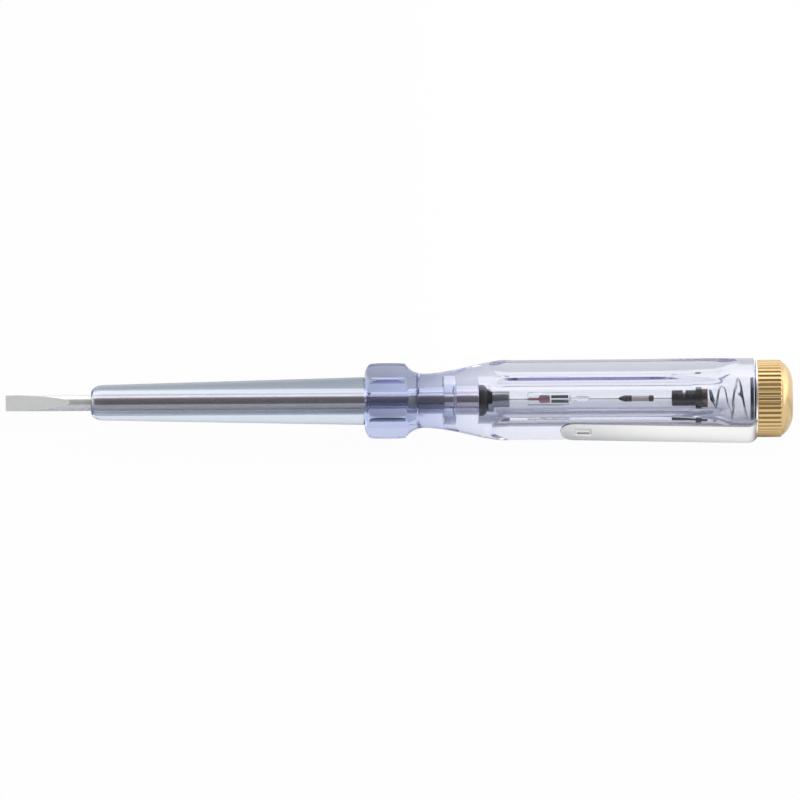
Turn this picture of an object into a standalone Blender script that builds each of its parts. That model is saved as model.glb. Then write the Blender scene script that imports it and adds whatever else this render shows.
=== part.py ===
"""Voltage tester screwdriver with a clear hexagonal handle, a pocket clip and a screw cap.

X runs along the tool, from the blade's tip at 0 to the end of the cap. Z is up, and a flat of
the hexagonal handle faces straight down. The clip lies on the flat that faces -Y and 30 degrees
below the horizontal. Everything is in metres.
"""
import math

import bmesh
import bpy
from mathutils import Matrix, Vector

MM = 0.001
DEG = math.pi / 180

# Clearances
fit_gap = 0.3 * MM          # between pieces that touch or fit into each other
cut_overrun = 2.0 * MM      # how far a cutter runs past what it cuts
merge_distance = 0.001 * MM # points closer than this are one point

# Blade
shank_diameter = 2.9 * MM
shank_past_seal = 2.1 * MM  # how far the shank runs on behind its seal
shank_rim = 0.15 * MM
blade_width = 2.74 * MM
blade_tip_thickness = 0.5 * MM
flat_length = 11.5 * MM     # from the tip to where the ground flats run out
side_grind_length = 9.0 * MM

# Insulating sleeve on the shank
sleeve_front = 15.2 * MM
sleeve_length = 48.4 * MM   # in front of the handle
sleeve_nose_length = 2.0 * MM
sleeve_nose_rim = 0.35 * MM
sleeve_nose_radius = 3.17 * MM
sleeve_rear_radius = 4.25 * MM
spigot_wall = 0.95 * MM
spigot_length = 14.6 * MM

# Handle, outside
collar_face_radius = 4.35 * MM
collar_chamfer_length = 1.35 * MM
collar_apothem = 5.87 * MM
collar_turned_radius = 6.72 * MM
collar_length = 6.8 * MM
waist_distance = 10.5 * MM  # from the collar's front face to the thinnest place
waist_fillet_radius = 4.0 * MM
waist_radius = 4.83 * MM
flare_length = 15.6 * MM
grip_length = 35.4 * MM
grip_apothem = 6.18 * MM
grip_rear_apothem = 6.24 * MM
hexagon_edge_radius = 0.8 * MM
runout_radius = 5.7 * MM
butt_length = 7.7 * MM
butt_radius = 7.23 * MM
butt_edge_radius = 0.45 * MM
neck_chamfer = 0.3 * MM
neck_wall = 1.2 * MM
thread_pitch = 0.7 * MM
thread_turns = 4            # turns of the thread that the cap holds on by

# Handle, inside
spigot_socket_depth = 16.5 * MM
seal_step = 4.0 * MM        # from the socket's bottom to the seal's groove
seal_thickness = 1.4 * MM
seal_wall = 0.8 * MM

# Contact ferrule on the end of the shank
ferrule_wall = 0.35 * MM
ferrule_end_wall = 0.7 * MM

# Glow lamp
lamp_lead_length = 3.3 * MM     # from the ferrule to the lamp
lamp_length = 7.8 * MM
lamp_radius = 1.75 * MM
lamp_wall = 0.35 * MM
lamp_dome_length = 0.6 * MM
lamp_tip_neck_radius = 0.4 * MM
lamp_tip_radius = 0.75 * MM
lamp_tip_length = 3.2 * MM
lamp_foot_length = 3.7 * MM
electrode_radius = 0.32 * MM
electrode_offset = 0.62 * MM
lead_radius = 0.2 * MM

# Resistor
lamp_to_resistor = 5.1 * MM
resistor_radius = 0.85 * MM
resistor_cap_length = 2.3 * MM
resistor_nose_length = 1.1 * MM
resistor_body_length = 2.5 * MM
resistor_rear_cap_length = 0.8 * MM
resistor_to_plug = 3.3 * MM

# Contact plug between the resistor and the spring
plug_nose_length = 4.0 * MM
plug_notch_width = 0.45 * MM
plug_notch_depth = 0.6 * MM
plug_flange_inset = 0.25 * MM   # of its rim from halfway over the chamber's floor
plug_flange_thickness = 1.0 * MM
contact_ring_inset = 0.58 * MM  # of its rim from the rim of the plug's flange
contact_ring_hole_radius = 0.9 * MM
contact_ring_thickness = 0.9 * MM

# Contact spring
spring_wire_diameter = 0.36 * MM
spring_clearance = 0.34 * MM    # from the chamber's wall
spring_front_coil_radius = 1.65 * MM
spring_taper_length = 3.2 * MM
spring_pitch = 3.1 * MM
spring_front_angle = 197.0 * DEG

# Cap
cap_radius = 6.88 * MM
cap_length = 5.95 * MM
cap_wall = 1.28 * MM
cap_knurl_length = 3.65 * MM
cap_shoulder_drop = 0.38 * MM   # of the domed end's rim below the knurl
cap_end_wall = 1.8 * MM
cap_face_radius = 3.3 * MM
cap_dome_fullness = 1.5         # 1 is a straight cone and 2 a quarter of an ellipse
cap_boss_reach = 0.7 * MM       # of the boss inside the cap past the handle's rear face
knurl_count = 43
knurl_depth = 0.3 * MM

# Pocket clip
clip_thickness = 0.35 * MM
clip_width = 5.0 * MM
clip_length = 34.5 * MM
clip_front_lift = 0.42 * MM     # of the arm's underside over the flat, at its front end
clip_dimple_place = 4.1 * MM    # of the dimple's middle, from the arm's front end
clip_dimple_length = 2.7 * MM
clip_dimple_width = 1.7 * MM
clip_dimple_depth = 0.22 * MM
clip_ring_overhang = 0.02 * MM  # of the ring beyond the cap
clip_bend_radius = 0.3 * MM

# How finely round shapes are divided
handle_segments = 48
sleeve_segments = 40
blade_segments = 32
small_segments = 24
arc_steps = 5

# Directions around the tool's axis
CLIP_ROLL = 210 * DEG           # from +Y towards +Z, the way the clip's flat faces
BLADE_ROLL = 150 * DEG          # the way one ground flat of the blade faces

# Places and sizes that follow from the sizes above
shank_radius = shank_diameter / 2
shank_hole_radius = shank_radius + fit_gap
sleeve_nose_face_radius = shank_hole_radius + sleeve_nose_rim
sleeve_shoulder = sleeve_front + sleeve_length
spigot_radius = shank_hole_radius + spigot_wall
spigot_end = sleeve_shoulder + spigot_length

collar_front = sleeve_shoulder + fit_gap
waist_station = collar_front + waist_distance
flare_end = waist_station + flare_length
runout_start = flare_end + grip_length
butt_end = runout_start + butt_length
socket_radius = spigot_radius + fit_gap
socket_end = collar_front + spigot_socket_depth

seal_radius = shank_hole_radius + seal_wall
seal_seat = socket_end + seal_step
seal_front = seal_seat + fit_gap
seal_rear = seal_front + seal_thickness
seal_groove_end = seal_rear + fit_gap
seal_groove_radius = seal_radius + fit_gap
shank_end = seal_groove_end + shank_past_seal
ferrule_front = seal_groove_end + fit_gap
ferrule_radius = shank_hole_radius + ferrule_wall
ferrule_end = shank_end + fit_gap + ferrule_end_wall
bore_radius = ferrule_radius + fit_gap

lamp_front = ferrule_end + lamp_lead_length
lamp_end = lamp_front + lamp_length
lamp_tip_end = lamp_end + lamp_tip_length
foot_front = lamp_front + fit_gap
foot_rear = foot_front + lamp_foot_length
foot_radius = lamp_radius - lamp_wall - fit_gap
lamp_dome_start = lamp_end - lamp_dome_length
electrode_front = foot_rear + fit_gap
electrode_rear = lamp_dome_start - fit_gap

resistor_front = lamp_tip_end + lamp_to_resistor
resistor_cap_end = resistor_front + resistor_cap_length
resistor_body_front = resistor_cap_end + fit_gap
resistor_body_end = resistor_body_front + resistor_body_length
resistor_rear_cap_front = resistor_body_end + fit_gap
resistor_end = resistor_rear_cap_front + resistor_rear_cap_length

neck_radius = cap_radius - cap_wall - fit_gap
spring_chamber_radius = neck_radius - neck_wall
plug_front = resistor_end + resistor_to_plug
spring_chamber_front = plug_front + plug_nose_length
plug_flange_front = spring_chamber_front + fit_gap
plug_flange_radius = (bore_radius + spring_chamber_radius) / 2 - plug_flange_inset
plug_rear = plug_flange_front + plug_flange_thickness
plug_nose_radius = bore_radius - fit_gap
contact_ring_front = plug_rear + fit_gap
contact_ring_rear = contact_ring_front + contact_ring_thickness
contact_ring_radius = plug_flange_radius - contact_ring_inset
spring_coil_radius = spring_chamber_radius - spring_clearance - spring_wire_diameter / 2

clip_ring_front = butt_end + fit_gap
clip_ring_rear = clip_ring_front + clip_thickness
clip_ring_radius = cap_radius + clip_ring_overhang
cap_front = clip_ring_rear + fit_gap
cap_end = cap_front + cap_length
cap_inner_end = cap_end - cap_end_wall
cap_shoulder_radius = cap_radius - cap_shoulder_drop
cap_boss_front = butt_end - cap_boss_reach
cap_boss_radius = spring_chamber_radius - fit_gap
neck_end = cap_front + thread_pitch * thread_turns
clip_rear_distance = butt_radius + fit_gap
clip_front_distance = grip_apothem + clip_front_lift
clip_arm_rear = clip_ring_front - fit_gap
clip_front = clip_arm_rear - clip_length
clip_hinge_station = clip_ring_front - fit_gap / 2
clip_hinge_distance = clip_rear_distance + clip_thickness / 2


def fresh_collections():
    """Empty the scene and make one collection for the pieces and one for the cutters."""
    for old in list(bpy.data.objects):
        bpy.data.objects.remove(old, do_unlink=True)
    pieces = bpy.data.collections.new("voltage_tester_screwdriver")
    tools = bpy.data.collections.new("cutters")
    for collection in (pieces, tools):
        bpy.context.scene.collection.children.link(collection)
    return pieces, tools


PIECES, CUTTERS = fresh_collections()


def material(name, colour, roughness, metallic=0.0, transmission=0.0):
    made = bpy.data.materials.new(name)
    made.use_nodes = True
    made.diffuse_color = (*colour, 1.0)
    shader = made.node_tree.nodes["Principled BSDF"]
    shader.inputs["Base Color"].default_value = (*colour, 1.0)
    shader.inputs["Roughness"].default_value = roughness
    shader.inputs["Metallic"].default_value = metallic
    shader.inputs["Transmission Weight"].default_value = transmission
    return made


def add_object(name, mesh, paint=None):
    """Link a mesh as a piece, or as a hidden cutter where it has no paint."""
    made = bpy.data.objects.new(name, mesh)
    if paint is None:
        CUTTERS.objects.link(made)
        made.hide_render = True
        made.display_type = "WIRE"
    else:
        PIECES.objects.link(made)
        mesh.materials.append(paint)
    return made


def mesh_from(name, bm):
    bmesh.ops.recalc_face_normals(bm, faces=bm.faces)
    mesh = bpy.data.meshes.new(name)
    bm.to_mesh(mesh)
    bm.free()
    return mesh


def arc(centre, radius, start, end, steps=arc_steps):
    """Points of (station, radius) on an arc, its angles measured from +X towards outward."""
    return [
        (
            centre[0] + radius * math.cos(start + (end - start) * i / steps),
            centre[1] + radius * math.sin(start + (end - start) * i / steps),
        )
        for i in range(steps + 1)
    ]


def quarter(start, end, bulge_out, steps=arc_steps, fullness=2.0):
    """A quarter turn from start to end that leaves along X, or outward where bulge_out is set."""
    points = []
    for i in range(steps + 1):
        turn = math.pi / 2 * i / steps
        along, out = math.sin(turn) ** (2 / fullness), 1 - math.cos(turn) ** (2 / fullness)
        if bulge_out:
            along, out = out, along
        points.append((start[0] + (end[0] - start[0]) * along, start[1] + (end[1] - start[1]) * out))
    return points


def turned(name, outline, paint, segments, closed=True):
    """A body turned about X: the outline goes front to rear on the outside as (station, radius)."""
    bm = bmesh.new()
    corners = [bm.verts.new((radius, 0, station)) for station, radius in reversed(outline)]
    for near, far in zip(corners, corners[1:]):
        bm.edges.new((near, far))
    if closed:
        bm.edges.new((corners[-1], corners[0]))
    mesh = bpy.data.meshes.new(name)
    bm.to_mesh(mesh)
    bm.free()
    made = add_object(name, mesh, paint)
    made.rotation_euler = (0, math.pi / 2, 0)
    screw = made.modifiers.new("turned", "SCREW")
    screw.axis = "Z"
    screw.angle = 2 * math.pi
    screw.steps = segments
    screw.render_steps = segments
    screw.use_merge_vertices = True
    screw.merge_threshold = merge_distance
    return made


def boolean(target, tool, operation):
    cut = target.modifiers.new(tool.name, "BOOLEAN")
    cut.operation = operation
    cut.solver = "EXACT"
    cut.object = tool
    return cut


def roll_place(bm, roll):
    """Turn a shape drawn with +Z outward about the tool's axis, so that +Z faces the given roll."""
    bmesh.ops.rotate(bm, cent=(0, 0, 0), matrix=Matrix.Rotation(roll - math.pi / 2, 3, "X"), verts=bm.verts)


def box(bm, low, high):
    made = bmesh.ops.create_cube(bm, size=1)["verts"]
    size = Vector(high) - Vector(low)
    bmesh.ops.scale(bm, vec=size, verts=made)
    bmesh.ops.translate(bm, vec=(Vector(high) + Vector(low)) / 2, verts=made)
    return made


def hexagon_section(apothem, edge_radius, corner_steps=3):
    """Points of a hexagon with rounded corners and flats facing up and down, in Y and Z."""
    points = []
    centre_distance = (apothem - edge_radius) / math.cos(math.pi / 6)
    for corner in range(6):
        middle = corner * math.pi / 3
        for i in range(corner_steps + 1):
            turn = middle + (i / corner_steps - 0.5) * math.pi / 3
            points.append(
                (
                    centre_distance * math.cos(middle) + edge_radius * math.cos(turn),
                    centre_distance * math.sin(middle) + edge_radius * math.sin(turn),
                )
            )
    return points


def hexagon_form():
    """The six long flats of collar and grip, as one prism whose flats rise out at the rear."""
    rise = butt_radius + cut_overrun - grip_rear_apothem
    stations = [
        (collar_front - cut_overrun, collar_apothem),
        (collar_front + collar_length + waist_fillet_radius, collar_apothem),
        (waist_station + waist_fillet_radius, grip_apothem),
        (runout_start, grip_rear_apothem),
    ]
    steps = 2 * arc_steps
    turn_end = math.acos(1 - rise / runout_radius)
    for i in range(1, steps + 1):
        turn = turn_end * i / steps
        stations.append(
            (runout_start + runout_radius * math.sin(turn), grip_rear_apothem + runout_radius * (1 - math.cos(turn)))
        )
    stations.append((neck_end + cut_overrun, stations[-1][1]))
    bm = bmesh.new()
    rings = []
    for station, apothem in stations:
        section = hexagon_section(apothem, hexagon_edge_radius)
        rings.append([bm.verts.new((station, y, z)) for y, z in section])
    for near, far in zip(rings, rings[1:]):
        for i in range(len(near)):
            j = (i + 1) % len(near)
            bm.faces.new((near[i], near[j], far[j], far[i]))
    bm.faces.new(rings[0])
    bm.faces.new(rings[-1])
    return add_object("hexagon_form", mesh_from("hexagon_form", bm))


def make_handle():
    clear = material("clear_violet_plastic", (0.78, 0.80, 0.93), 0.05, 0.0, 0.9)
    chamfer_end = collar_front + collar_chamfer_length
    collar_rear = collar_front + collar_length
    outline = [(collar_front, socket_radius)]
    outline += quarter((collar_front, collar_face_radius), (chamfer_end, collar_turned_radius), True)
    outline.append((collar_rear, collar_turned_radius))
    fillet_centre = (waist_station, waist_radius + waist_fillet_radius)
    fillet_rise = (collar_turned_radius - waist_radius) / waist_fillet_radius
    lean = math.acos(1 - fillet_rise)
    outline += arc(fillet_centre, waist_fillet_radius, 1.5 * math.pi - lean, 1.5 * math.pi, arc_steps + 1)
    flare_steps = 2 * arc_steps
    for i in range(1, flare_steps + 1):
        share = i / flare_steps
        blend = share * share * (3 - 2 * share)
        outline.append(
            (waist_station + (flare_end - waist_station) * share, waist_radius + (butt_radius - waist_radius) * blend)
        )
    edge_centre = (butt_end - butt_edge_radius, butt_radius - butt_edge_radius)
    outline += arc(edge_centre, butt_edge_radius, math.pi / 2, 0, 3)
    outline.append((butt_end, neck_radius))
    outline.append((neck_end - neck_chamfer, neck_radius))
    outline.append((neck_end, neck_radius - neck_chamfer))
    outline.append((neck_end, spring_chamber_radius))
    outline.append((spring_chamber_front, spring_chamber_radius))
    outline.append((spring_chamber_front, bore_radius))
    outline.append((seal_groove_end, bore_radius))
    outline.append((seal_groove_end, seal_groove_radius))
    outline.append((seal_seat, seal_groove_radius))
    outline.append((seal_seat, shank_hole_radius))
    outline.append((socket_end, shank_hole_radius))
    outline.append((socket_end, socket_radius))
    handle = turned("handle", outline, clear, handle_segments)
    boolean(handle, hexagon_form(), "INTERSECT")


def slope_cutter(name, half_at_tip, length, roll):
    """Two boxes whose inner faces slope from a half thickness at the tip out to the shank's side."""
    bm = bmesh.new()
    slope = math.atan((shank_radius - half_at_tip) / length)
    width = shank_diameter + cut_overrun
    for _ in range(2):
        for vertex in bm.verts:
            vertex.co.z = -vertex.co.z
        made = box(bm, (-cut_overrun, -width, 0), (length + cut_overrun, width, shank_diameter))
        bmesh.ops.rotate(bm, cent=(0, 0, 0), matrix=Matrix.Rotation(-slope, 3, "Y"), verts=made)
        bmesh.ops.translate(bm, vec=(0, 0, half_at_tip), verts=made)
    roll_place(bm, roll)
    return add_object(name, mesh_from(name, bm))


def make_blade():
    steel = material("nickelled_steel", (0.72, 0.72, 0.72), 0.25, 1.0)
    outline = [
        (0, 0),
        (0, shank_radius),
        (shank_end - shank_rim, shank_radius),
        (shank_end, shank_radius - shank_rim),
        (shank_end, 0),
    ]
    blade = turned("blade", outline, steel, blade_segments, closed=False)
    boolean(blade, slope_cutter("blade_flats", blade_tip_thickness / 2, flat_length, BLADE_ROLL), "DIFFERENCE")
    side_roll = BLADE_ROLL + math.pi / 2
    boolean(blade, slope_cutter("blade_sides", blade_width / 2, side_grind_length, side_roll), "DIFFERENCE")


def make_sleeve():
    clear = material("clear_sleeve_plastic", (0.85, 0.87, 0.93), 0.04, 0.0, 0.9)
    outline = [(sleeve_front, shank_hole_radius)]
    nose_start = (sleeve_front, sleeve_nose_face_radius)
    outline += quarter(nose_start, (sleeve_front + sleeve_nose_length, sleeve_nose_radius), True)
    outline.append((sleeve_shoulder, sleeve_rear_radius))
    outline.append((sleeve_shoulder, spigot_radius))
    outline.append((spigot_end, spigot_radius))
    outline.append((spigot_end, shank_hole_radius))
    turned("insulating_sleeve", outline, clear, sleeve_segments)


def make_seal():
    rubber = material("black_seal_rubber", (0.02, 0.02, 0.025), 0.5)
    outline = [(seal_front, shank_hole_radius), (seal_front, seal_radius)]
    rim = (seal_front + fit_gap, seal_radius)
    outline += quarter(rim, (seal_rear, shank_hole_radius), False)
    turned("shank_seal", outline, rubber, small_segments)


def make_ferrule():
    metal = material("ferrule_metal", (0.35, 0.35, 0.38), 0.3, 1.0)
    outline = [
        (ferrule_front, shank_hole_radius),
        (ferrule_front, ferrule_radius),
        (ferrule_end - ferrule_end_wall / 2, ferrule_radius),
        (ferrule_end, ferrule_radius - ferrule_end_wall / 2),
        (ferrule_end, 0),
        (ferrule_end - ferrule_end_wall, 0),
        (ferrule_end - ferrule_end_wall, shank_hole_radius),
    ]
    # the outline closes along the bore, so its axis points stay apart from each other
    bm = bmesh.new()
    corners = [bm.verts.new((radius, 0, station)) for station, radius in reversed(outline)]
    for i, corner in enumerate(corners):
        after = corners[(i + 1) % len(corners)]
        if corner.co.x or after.co.x:
            bm.edges.new((corner, after))
    bmesh.ops.spin(
        bm, geom=bm.verts[:] + bm.edges[:], cent=(0, 0, 0), axis=(0, 0, 1), angle=2 * math.pi,
        steps=small_segments, use_merge=True,
    )
    bmesh.ops.remove_doubles(bm, verts=bm.verts, dist=merge_distance)
    made = add_object("contact_ferrule", mesh_from("contact_ferrule", bm), metal)
    made.rotation_euler = (0, math.pi / 2, 0)


def straight_wire(name, front, rear, radius, paint, offset=(0, 0)):
    """A straight round wire along X, as a curve with filled ends."""
    curve = bpy.data.curves.new(name, "CURVE")
    curve.dimensions = "3D"
    spline = curve.splines.new("POLY")
    spline.points.add(1)
    for point, station in zip(spline.points, (front, rear)):
        point.co = (station, offset[0], offset[1], 1)
    curve.bevel_depth = radius
    curve.bevel_resolution = 2
    curve.use_fill_caps = True
    made = bpy.data.objects.new(name, curve)
    curve.materials.append(paint)
    PIECES.objects.link(made)
    return made


def make_lamp():
    glass = material("lamp_glass", (0.95, 0.95, 0.97), 0.02, 0.0, 1.0)
    foot_glass = material("red_foot_glass", (0.45, 0.16, 0.15), 0.2)
    electrode_metal = material("electrode_metal", (0.12, 0.12, 0.13), 0.4, 1.0)
    lead_metal = material("tinned_lead", (0.7, 0.68, 0.66), 0.3, 1.0)

    inner_radius = lamp_radius - lamp_wall
    tip_neck = lamp_end + lamp_tip_neck_radius
    tip_front = tip_neck + lamp_tip_radius
    outline = [(lamp_front, inner_radius), (lamp_front, lamp_radius)]
    outline += quarter((lamp_dome_start, lamp_radius), (lamp_end, lamp_tip_neck_radius), False)
    outline.append((tip_neck, lamp_tip_neck_radius))
    outline.append((tip_front, lamp_tip_radius))
    outline += quarter((lamp_tip_end - lamp_tip_radius, lamp_tip_radius), (lamp_tip_end, 0), False, 3)
    outline.append((lamp_end - lamp_wall, 0))
    outline += quarter((lamp_end - lamp_wall, 0), (lamp_dome_start, inner_radius), True, 3)[1:]
    lamp = turned("lamp_glass", outline, glass, small_segments, closed=True)
    axis_edge_removed(lamp)

    foot_taper = foot_radius / 3
    foot_outline = [
        (foot_front, 0),
        (foot_front, foot_radius - foot_taper),
        (foot_front + foot_taper, foot_radius),
        (foot_rear - foot_taper, foot_radius),
        (foot_rear, foot_radius - foot_taper),
        (foot_rear, 0),
    ]
    turned("lamp_foot", foot_outline, foot_glass, small_segments, closed=False)

    up = Vector((math.cos(BLADE_ROLL - math.pi / 2), math.sin(BLADE_ROLL - math.pi / 2)))
    for name, side in (("lamp_electrode_upper", 1), ("lamp_electrode_lower", -1)):
        place = up * electrode_offset * side
        straight_wire(name, electrode_front, electrode_rear, electrode_radius, electrode_metal, place)
    straight_wire("lamp_lead_front", ferrule_end + fit_gap, foot_front - fit_gap, lead_radius, lead_metal)
    straight_wire("lamp_lead_rear", lamp_tip_end + fit_gap, resistor_front - fit_gap, lead_radius, lead_metal)


def axis_edge_removed(piece):
    """Delete the outline's edge that lies on the axis, which a turned solid doesn't need."""
    bm = bmesh.new()
    bm.from_mesh(piece.data)
    on_axis = [e for e in bm.edges if not e.verts[0].co.x and not e.verts[1].co.x]
    bmesh.ops.delete(bm, geom=on_axis, context="EDGES")
    bm.to_mesh(piece.data)
    bm.free()


def make_resistor():
    lacquer = material("resistor_lacquer", (0.55, 0.42, 0.32), 0.25)
    dark_metal = material("resistor_cap_metal", (0.18, 0.15, 0.14), 0.35, 0.6)
    lead_metal = material("resistor_lead_metal", (0.66, 0.6, 0.5), 0.3, 1.0)

    nose_rear = resistor_front + resistor_nose_length
    outline = [(resistor_front, 0), (resistor_front, lead_radius)]
    outline += quarter((resistor_front, lead_radius), (nose_rear, resistor_radius), True, 4)[1:]
    outline += [(resistor_cap_end, resistor_radius), (resistor_cap_end, 0)]
    turned("resistor_front_cap", outline, dark_metal, small_segments, closed=False)

    body = [
        (resistor_body_front, 0),
        (resistor_body_front, resistor_radius),
        (resistor_body_end, resistor_radius),
        (resistor_body_end, 0),
    ]
    turned("resistor_body", body, lacquer, small_segments, closed=False)
    rear_cap = [
        (resistor_rear_cap_front, 0),
        (resistor_rear_cap_front, resistor_radius),
        (resistor_end - lead_radius, resistor_radius),
        (resistor_end, resistor_radius - lead_radius),
        (resistor_end, 0),
    ]
    turned("resistor_rear_cap", rear_cap, dark_metal, small_segments, closed=False)
    straight_wire("resistor_lead", resistor_end + fit_gap, plug_front - fit_gap, lead_radius, lead_metal)


def make_contact_plug():
    black = material("black_plug_plastic", (0.025, 0.025, 0.03), 0.4)
    outline = [
        (plug_front, 0),
        (plug_front, plug_nose_radius),
        (plug_flange_front, plug_nose_radius),
        (plug_flange_front, plug_flange_radius),
        (plug_rear, plug_flange_radius),
        (plug_rear, 0),
    ]
    plug = turned("contact_plug", outline, black, small_segments, closed=False)
    bm = bmesh.new()
    notch_middle = plug_front + (plug_flange_front - plug_front) / 2
    box(
        bm,
        (notch_middle - plug_notch_width / 2, -plug_nose_radius - cut_overrun, plug_nose_radius - plug_notch_depth),
        (notch_middle + plug_notch_width / 2, plug_nose_radius + cut_overrun, plug_nose_radius + cut_overrun),
    )
    roll_place(bm, BLADE_ROLL - math.pi / 2)
    boolean(plug, add_object("plug_notch", mesh_from("plug_notch", bm)), "DIFFERENCE")

    copper = material("copper_contact", (0.45, 0.25, 0.16), 0.35, 1.0)
    ring = [
        (contact_ring_front, contact_ring_hole_radius),
        (contact_ring_front, contact_ring_radius),
        (contact_ring_rear, contact_ring_radius),
        (contact_ring_rear, contact_ring_hole_radius),
    ]
    turned("contact_ring", ring, copper, small_segments)


def spring_points():
    """Centre points of the spring's wire: straight ends square to what they meet, coils between."""
    wire_front = contact_ring_rear + fit_gap
    wire_rear = cap_boss_front - fit_gap
    coil_front = wire_front + spring_wire_diameter
    coil_rear = wire_rear - spring_wire_diameter
    turns = (coil_rear - coil_front) / spring_pitch
    per_turn = 10
    count = round(turns * per_turn)
    coil = []
    for i in range(count + 1):
        station = coil_front + (coil_rear - coil_front) * i / count
        grown = min((station - coil_front) / spring_taper_length, 1)
        radius = spring_coil_radius - (spring_coil_radius - spring_front_coil_radius) * (1 - grown) ** 2
        angle = spring_front_angle - 2 * math.pi * turns * i / count
        coil.append(Vector((station, radius * math.cos(angle), radius * math.sin(angle))))
    front = Vector((wire_front, coil[0].y, coil[0].z))
    rear = Vector((wire_rear, coil[-1].y, coil[-1].z))
    return [front] + coil + [rear]


def least_gap(points, wire):
    """The least space between stretches of the wire more than half a turn apart."""
    apart = 6
    return min(
        (points[i] - points[j]).length - wire
        for i in range(len(points))
        for j in range(i + apart, len(points))
    )


def make_spring():
    wire = material("spring_wire", (0.5, 0.5, 0.52), 0.25, 1.0)
    points = spring_points()
    curve = bpy.data.curves.new("contact_spring", "CURVE")
    curve.dimensions = "3D"
    spline = curve.splines.new("POLY")
    spline.points.add(len(points) - 1)
    for slot, point in zip(spline.points, points):
        slot.co = (*point, 1)
    curve.bevel_depth = spring_wire_diameter / 2
    curve.bevel_resolution = 1
    curve.use_fill_caps = True
    curve.materials.append(wire)
    PIECES.objects.link(bpy.data.objects.new("contact_spring", curve))
    gap = least_gap(points, spring_wire_diameter)
    print(f"contact_spring: least gap to itself {gap / MM:.2f} mm")


def make_cap():
    brass = material("brass", (0.72, 0.55, 0.3), 0.3, 1.0)
    knurl_end = cap_front + cap_knurl_length
    cavity_radius = neck_radius + fit_gap
    outline = [
        (cap_front, cavity_radius),
        (cap_front, cap_radius - knurl_depth),
        (cap_front + knurl_depth, cap_radius),
        (knurl_end, cap_radius),
    ]
    shoulder = knurl_end + cap_shoulder_drop
    outline += quarter(
        (shoulder, cap_shoulder_radius), (cap_end, cap_face_radius), False, arc_steps + 1, cap_dome_fullness
    )
    outline += [
        (cap_end, 0),
        (cap_boss_front, 0),
        (cap_boss_front, cap_boss_radius),
        (cap_inner_end, cap_boss_radius),
        (cap_inner_end, cavity_radius),
    ]
    cap = turned("cap", outline, brass, handle_segments)
    axis_edge_removed(cap)

    bm = bmesh.new()
    side = knurl_depth * math.sqrt(2)
    for i in range(knurl_count):
        made = box(bm, (cap_front - cut_overrun, -side / 2, -side / 2), (shoulder + cut_overrun, side / 2, side / 2))
        bmesh.ops.rotate(bm, cent=(0, 0, 0), matrix=Matrix.Rotation(math.pi / 4, 3, "X"), verts=made)
        bmesh.ops.translate(bm, vec=(0, 0, cap_radius), verts=made)
        turn = Matrix.Rotation(2 * math.pi * i / knurl_count, 3, "X")
        bmesh.ops.rotate(bm, cent=(0, 0, 0), matrix=turn, verts=made)
    boolean(cap, add_object("knurl_grooves", mesh_from("knurl_grooves", bm)), "DIFFERENCE")


def make_clip_ring():
    steel = material("clip_steel", (0.82, 0.82, 0.81), 0.35, 1.0)
    hole = neck_radius + fit_gap
    outline = [
        (clip_ring_front, hole),
        (clip_ring_front, clip_ring_radius),
        (clip_ring_rear, clip_ring_radius),
        (clip_ring_rear, hole),
    ]
    ring = turned("clip_ring", outline, steel, handle_segments)
    bm = bmesh.new()
    outer = clip_rear_distance + clip_thickness
    box(bm, (clip_ring_front, -clip_width / 2, hole + fit_gap), (clip_ring_rear, clip_width / 2, outer))
    far_edge = [e for e in bm.edges if all(v.co.z > clip_rear_distance and v.co.x > clip_ring_front for v in e.verts)]
    bmesh.ops.bevel(
        bm, geom=far_edge, offset=clip_bend_radius, segments=3, profile=0.5, affect="EDGES", material=-1,
    )
    roll_place(bm, CLIP_ROLL)
    boolean(ring, add_object("clip_tab", mesh_from("clip_tab", bm)), "UNION")
    return steel


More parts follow.
